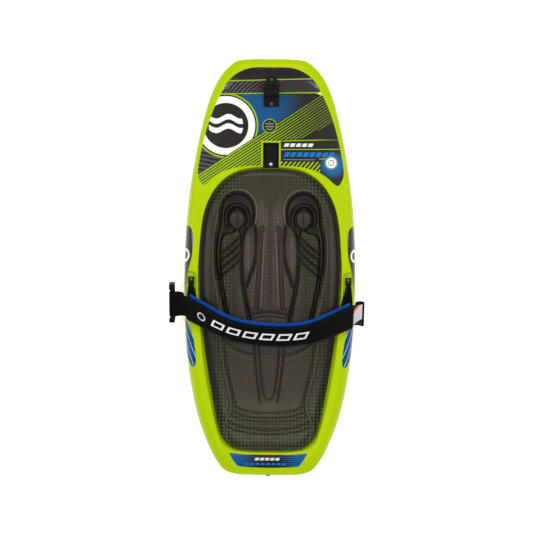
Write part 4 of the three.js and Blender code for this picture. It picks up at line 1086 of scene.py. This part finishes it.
# Black nylon nodes, and how far their edges are rounded, in millimetres
NYLON = {
    "tow_hook": 1.2, "dial_tray": 0.5, "gear_case_floor": 0, "dial": 0.5, "dial_shaft": 0, "cover_strip": 0.6,
    "fin_rod": 0, "rod_conduit": 0, "fin_box": 0, "fin_plate": 0.3, "fin_left": 0.8, "fin_right": 0.8,
    "anchor_bracket_left": 0.5, "anchor_bracket_right": 0.5, "strap_link_left": 0.5,
    "strap_link_right": 0.5, "buckle_ring": 1.6,
}
SCREW_ROUND, PLUG_ROUND = 0.25, 0.4


def finish_node(name, material, round_over=0.0):
    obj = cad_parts[name]
    obj.data.materials.clear()
    obj.data.materials.append(material)
    if round_over:
        round_edges(obj, round_over, 3, 35)
        obj.modifiers.new("normals", "WEIGHTED_NORMAL").keep_sharp = True


def finish_nodes(paints):
    for name, width in NYLON.items():
        finish_node(name, paints["nylon"], width)
    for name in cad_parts:
        if "screw" in name or "_pin_" in name or name == "shaft_clip":
            dark = name.startswith(("hook_screw", "anchor_screw"))
            width = SCREW_ROUND if "screw" in name else 0
            finish_node(name, paints["dark_steel" if dark else "steel"], width)
        elif "insert" in name:
            finish_node(name, paints["brass"])
    finish_node("fill_plug", paints["rubber"], PLUG_ROUND)
    finish_node("shaft_seal", paints["rubber"])
    finish_node("foam_core", paints["core"])


# ----- Stage, light and camera -----


OVERHEAD, BACKDROP = 0.28, 0.95  # the world's strength
FLOOR_HALF, FLOOR_AT = 9000, -0.4
LIGHT_HEIGHT = 5.0
# Each light's name, x and y, the y that it aims at, its size, and its power in watts
LIGHTS = (
    ("softbox_front", (0, 2.9), 0, (2.4, 1.0), 84),
    ("softbox_rear", (0, -1.9), 0, (2.4, 0.6), 56),
    ("softbox_left", (-1.9, 0.2), 0, (0.7, 2.4), 66),
    ("softbox_right", (1.9, 0.2), 0, (0.7, 2.4), 66),
    ("strip_left", (-1.05, 1.0), 0.3, (0.04, 1.6), 7),
    ("strip_right", (1.05, 1.0), 0.3, (0.04, 1.6), 7),
)
CAMERA_HEIGHT = 4.0
CAMERA_AT, CAMERA_ROLL = (-0.0104, 0.0065), 0.53  # metres, degrees
SENSOR = 36
FIELD = 1.627  # width of the picture at the height of the rails, in metres
RAIL_HEIGHT = 0.075


def area_light(name, place, aim, size, power):
    light = bpy.data.lights.new(name, "AREA")
    light.shape = "RECTANGLE"
    light.size, light.size_y = size
    light.energy = power
    obj = place_in_scene(name, light)
    obj.location = (*place, LIGHT_HEIGHT)
    obj.rotation_euler = (Vector((0, aim, 0.1)) - obj.location).to_track_quat("-Z", "Y").to_euler()


def make_world():
    """Dim light from above, and a white backdrop round the horizon."""
    world = bpy.data.worlds.new("studio")
    world.use_nodes = True
    tree = world.node_tree
    direction = add_node(tree, "TexCoord", {}).outputs["Generated"]
    split = add_node(tree, "SeparateXYZ", {0: direction})
    strength = Field(tree, split.outputs[2]).ease(0.1, 0.45) * (OVERHEAD - BACKDROP) + BACKDROP
    background = tree.nodes["Background"]
    background.inputs["Color"].default_value = (1, 1, 1, 1)
    tree.links.new(strength.socket, background.inputs["Strength"])
    bpy.context.scene.world = world


def make_stage(material):
    corners = [(x * FLOOR_HALF, y * FLOOR_HALF, FLOOR_AT) for x, y in ((-1, -1), (1, -1), (1, 1), (-1, 1))]
    mesh_object("floor", corners, [(0, 1, 2, 3)], material)
    make_world()
    for light in LIGHTS:
        area_light(*light)
    bpy.context.scene.view_settings.view_transform = "Standard"


def make_camera():
    camera = bpy.data.cameras.new("camera")
    camera.sensor_width = SENSOR
    camera.lens = SENSOR * CAMERA_HEIGHT / FIELD
    obj = place_in_scene("camera", camera)
    obj.location = (*CAMERA_AT, CAMERA_HEIGHT + RAIL_HEIGHT)
    obj.rotation_euler = (0, 0, math.radians(CAMERA_ROLL))
    bpy.context.scene.camera = obj


def main():
    make_camera()
    paints = {
        "nylon": black_nylon(), "steel": steel(), "dark_steel": dark_steel(), "brass": brass(),
        "rubber": rubber(), "core": core_foam(), "webbing": webbing(), "neoprene": neoprene(),
        "liner": blue_foam(), "tag": tag_cloth(),
    }
    surface = make_shell(lime_plastic())
    ink_side, blue_side = side_print_front(), side_print_rear()
    film("nose_film", smoothed(closed(NOSE_FILM), 4), surface, nose_print(), 8, TRAY_HOLE)
    film("tail_film", closed(TAIL_FILM), surface, tail_print(), 5)
    for name, side in (("left", -1), ("right", 1)):
        rail_film(f"front_film_{name}", FRONT_INNER, FRONT_OUTER, side, surface, ink_side, "black_film")
        rail_film(f"rear_film_{name}", REAR_INNER, REAR_OUTER, side, surface, blue_side, "blue_film")
    make_pad(eva_foam())
    make_strap(paints)
    make_side_webs(paints)
    finish_nodes(paints)
    make_stage(floor_white())


main()
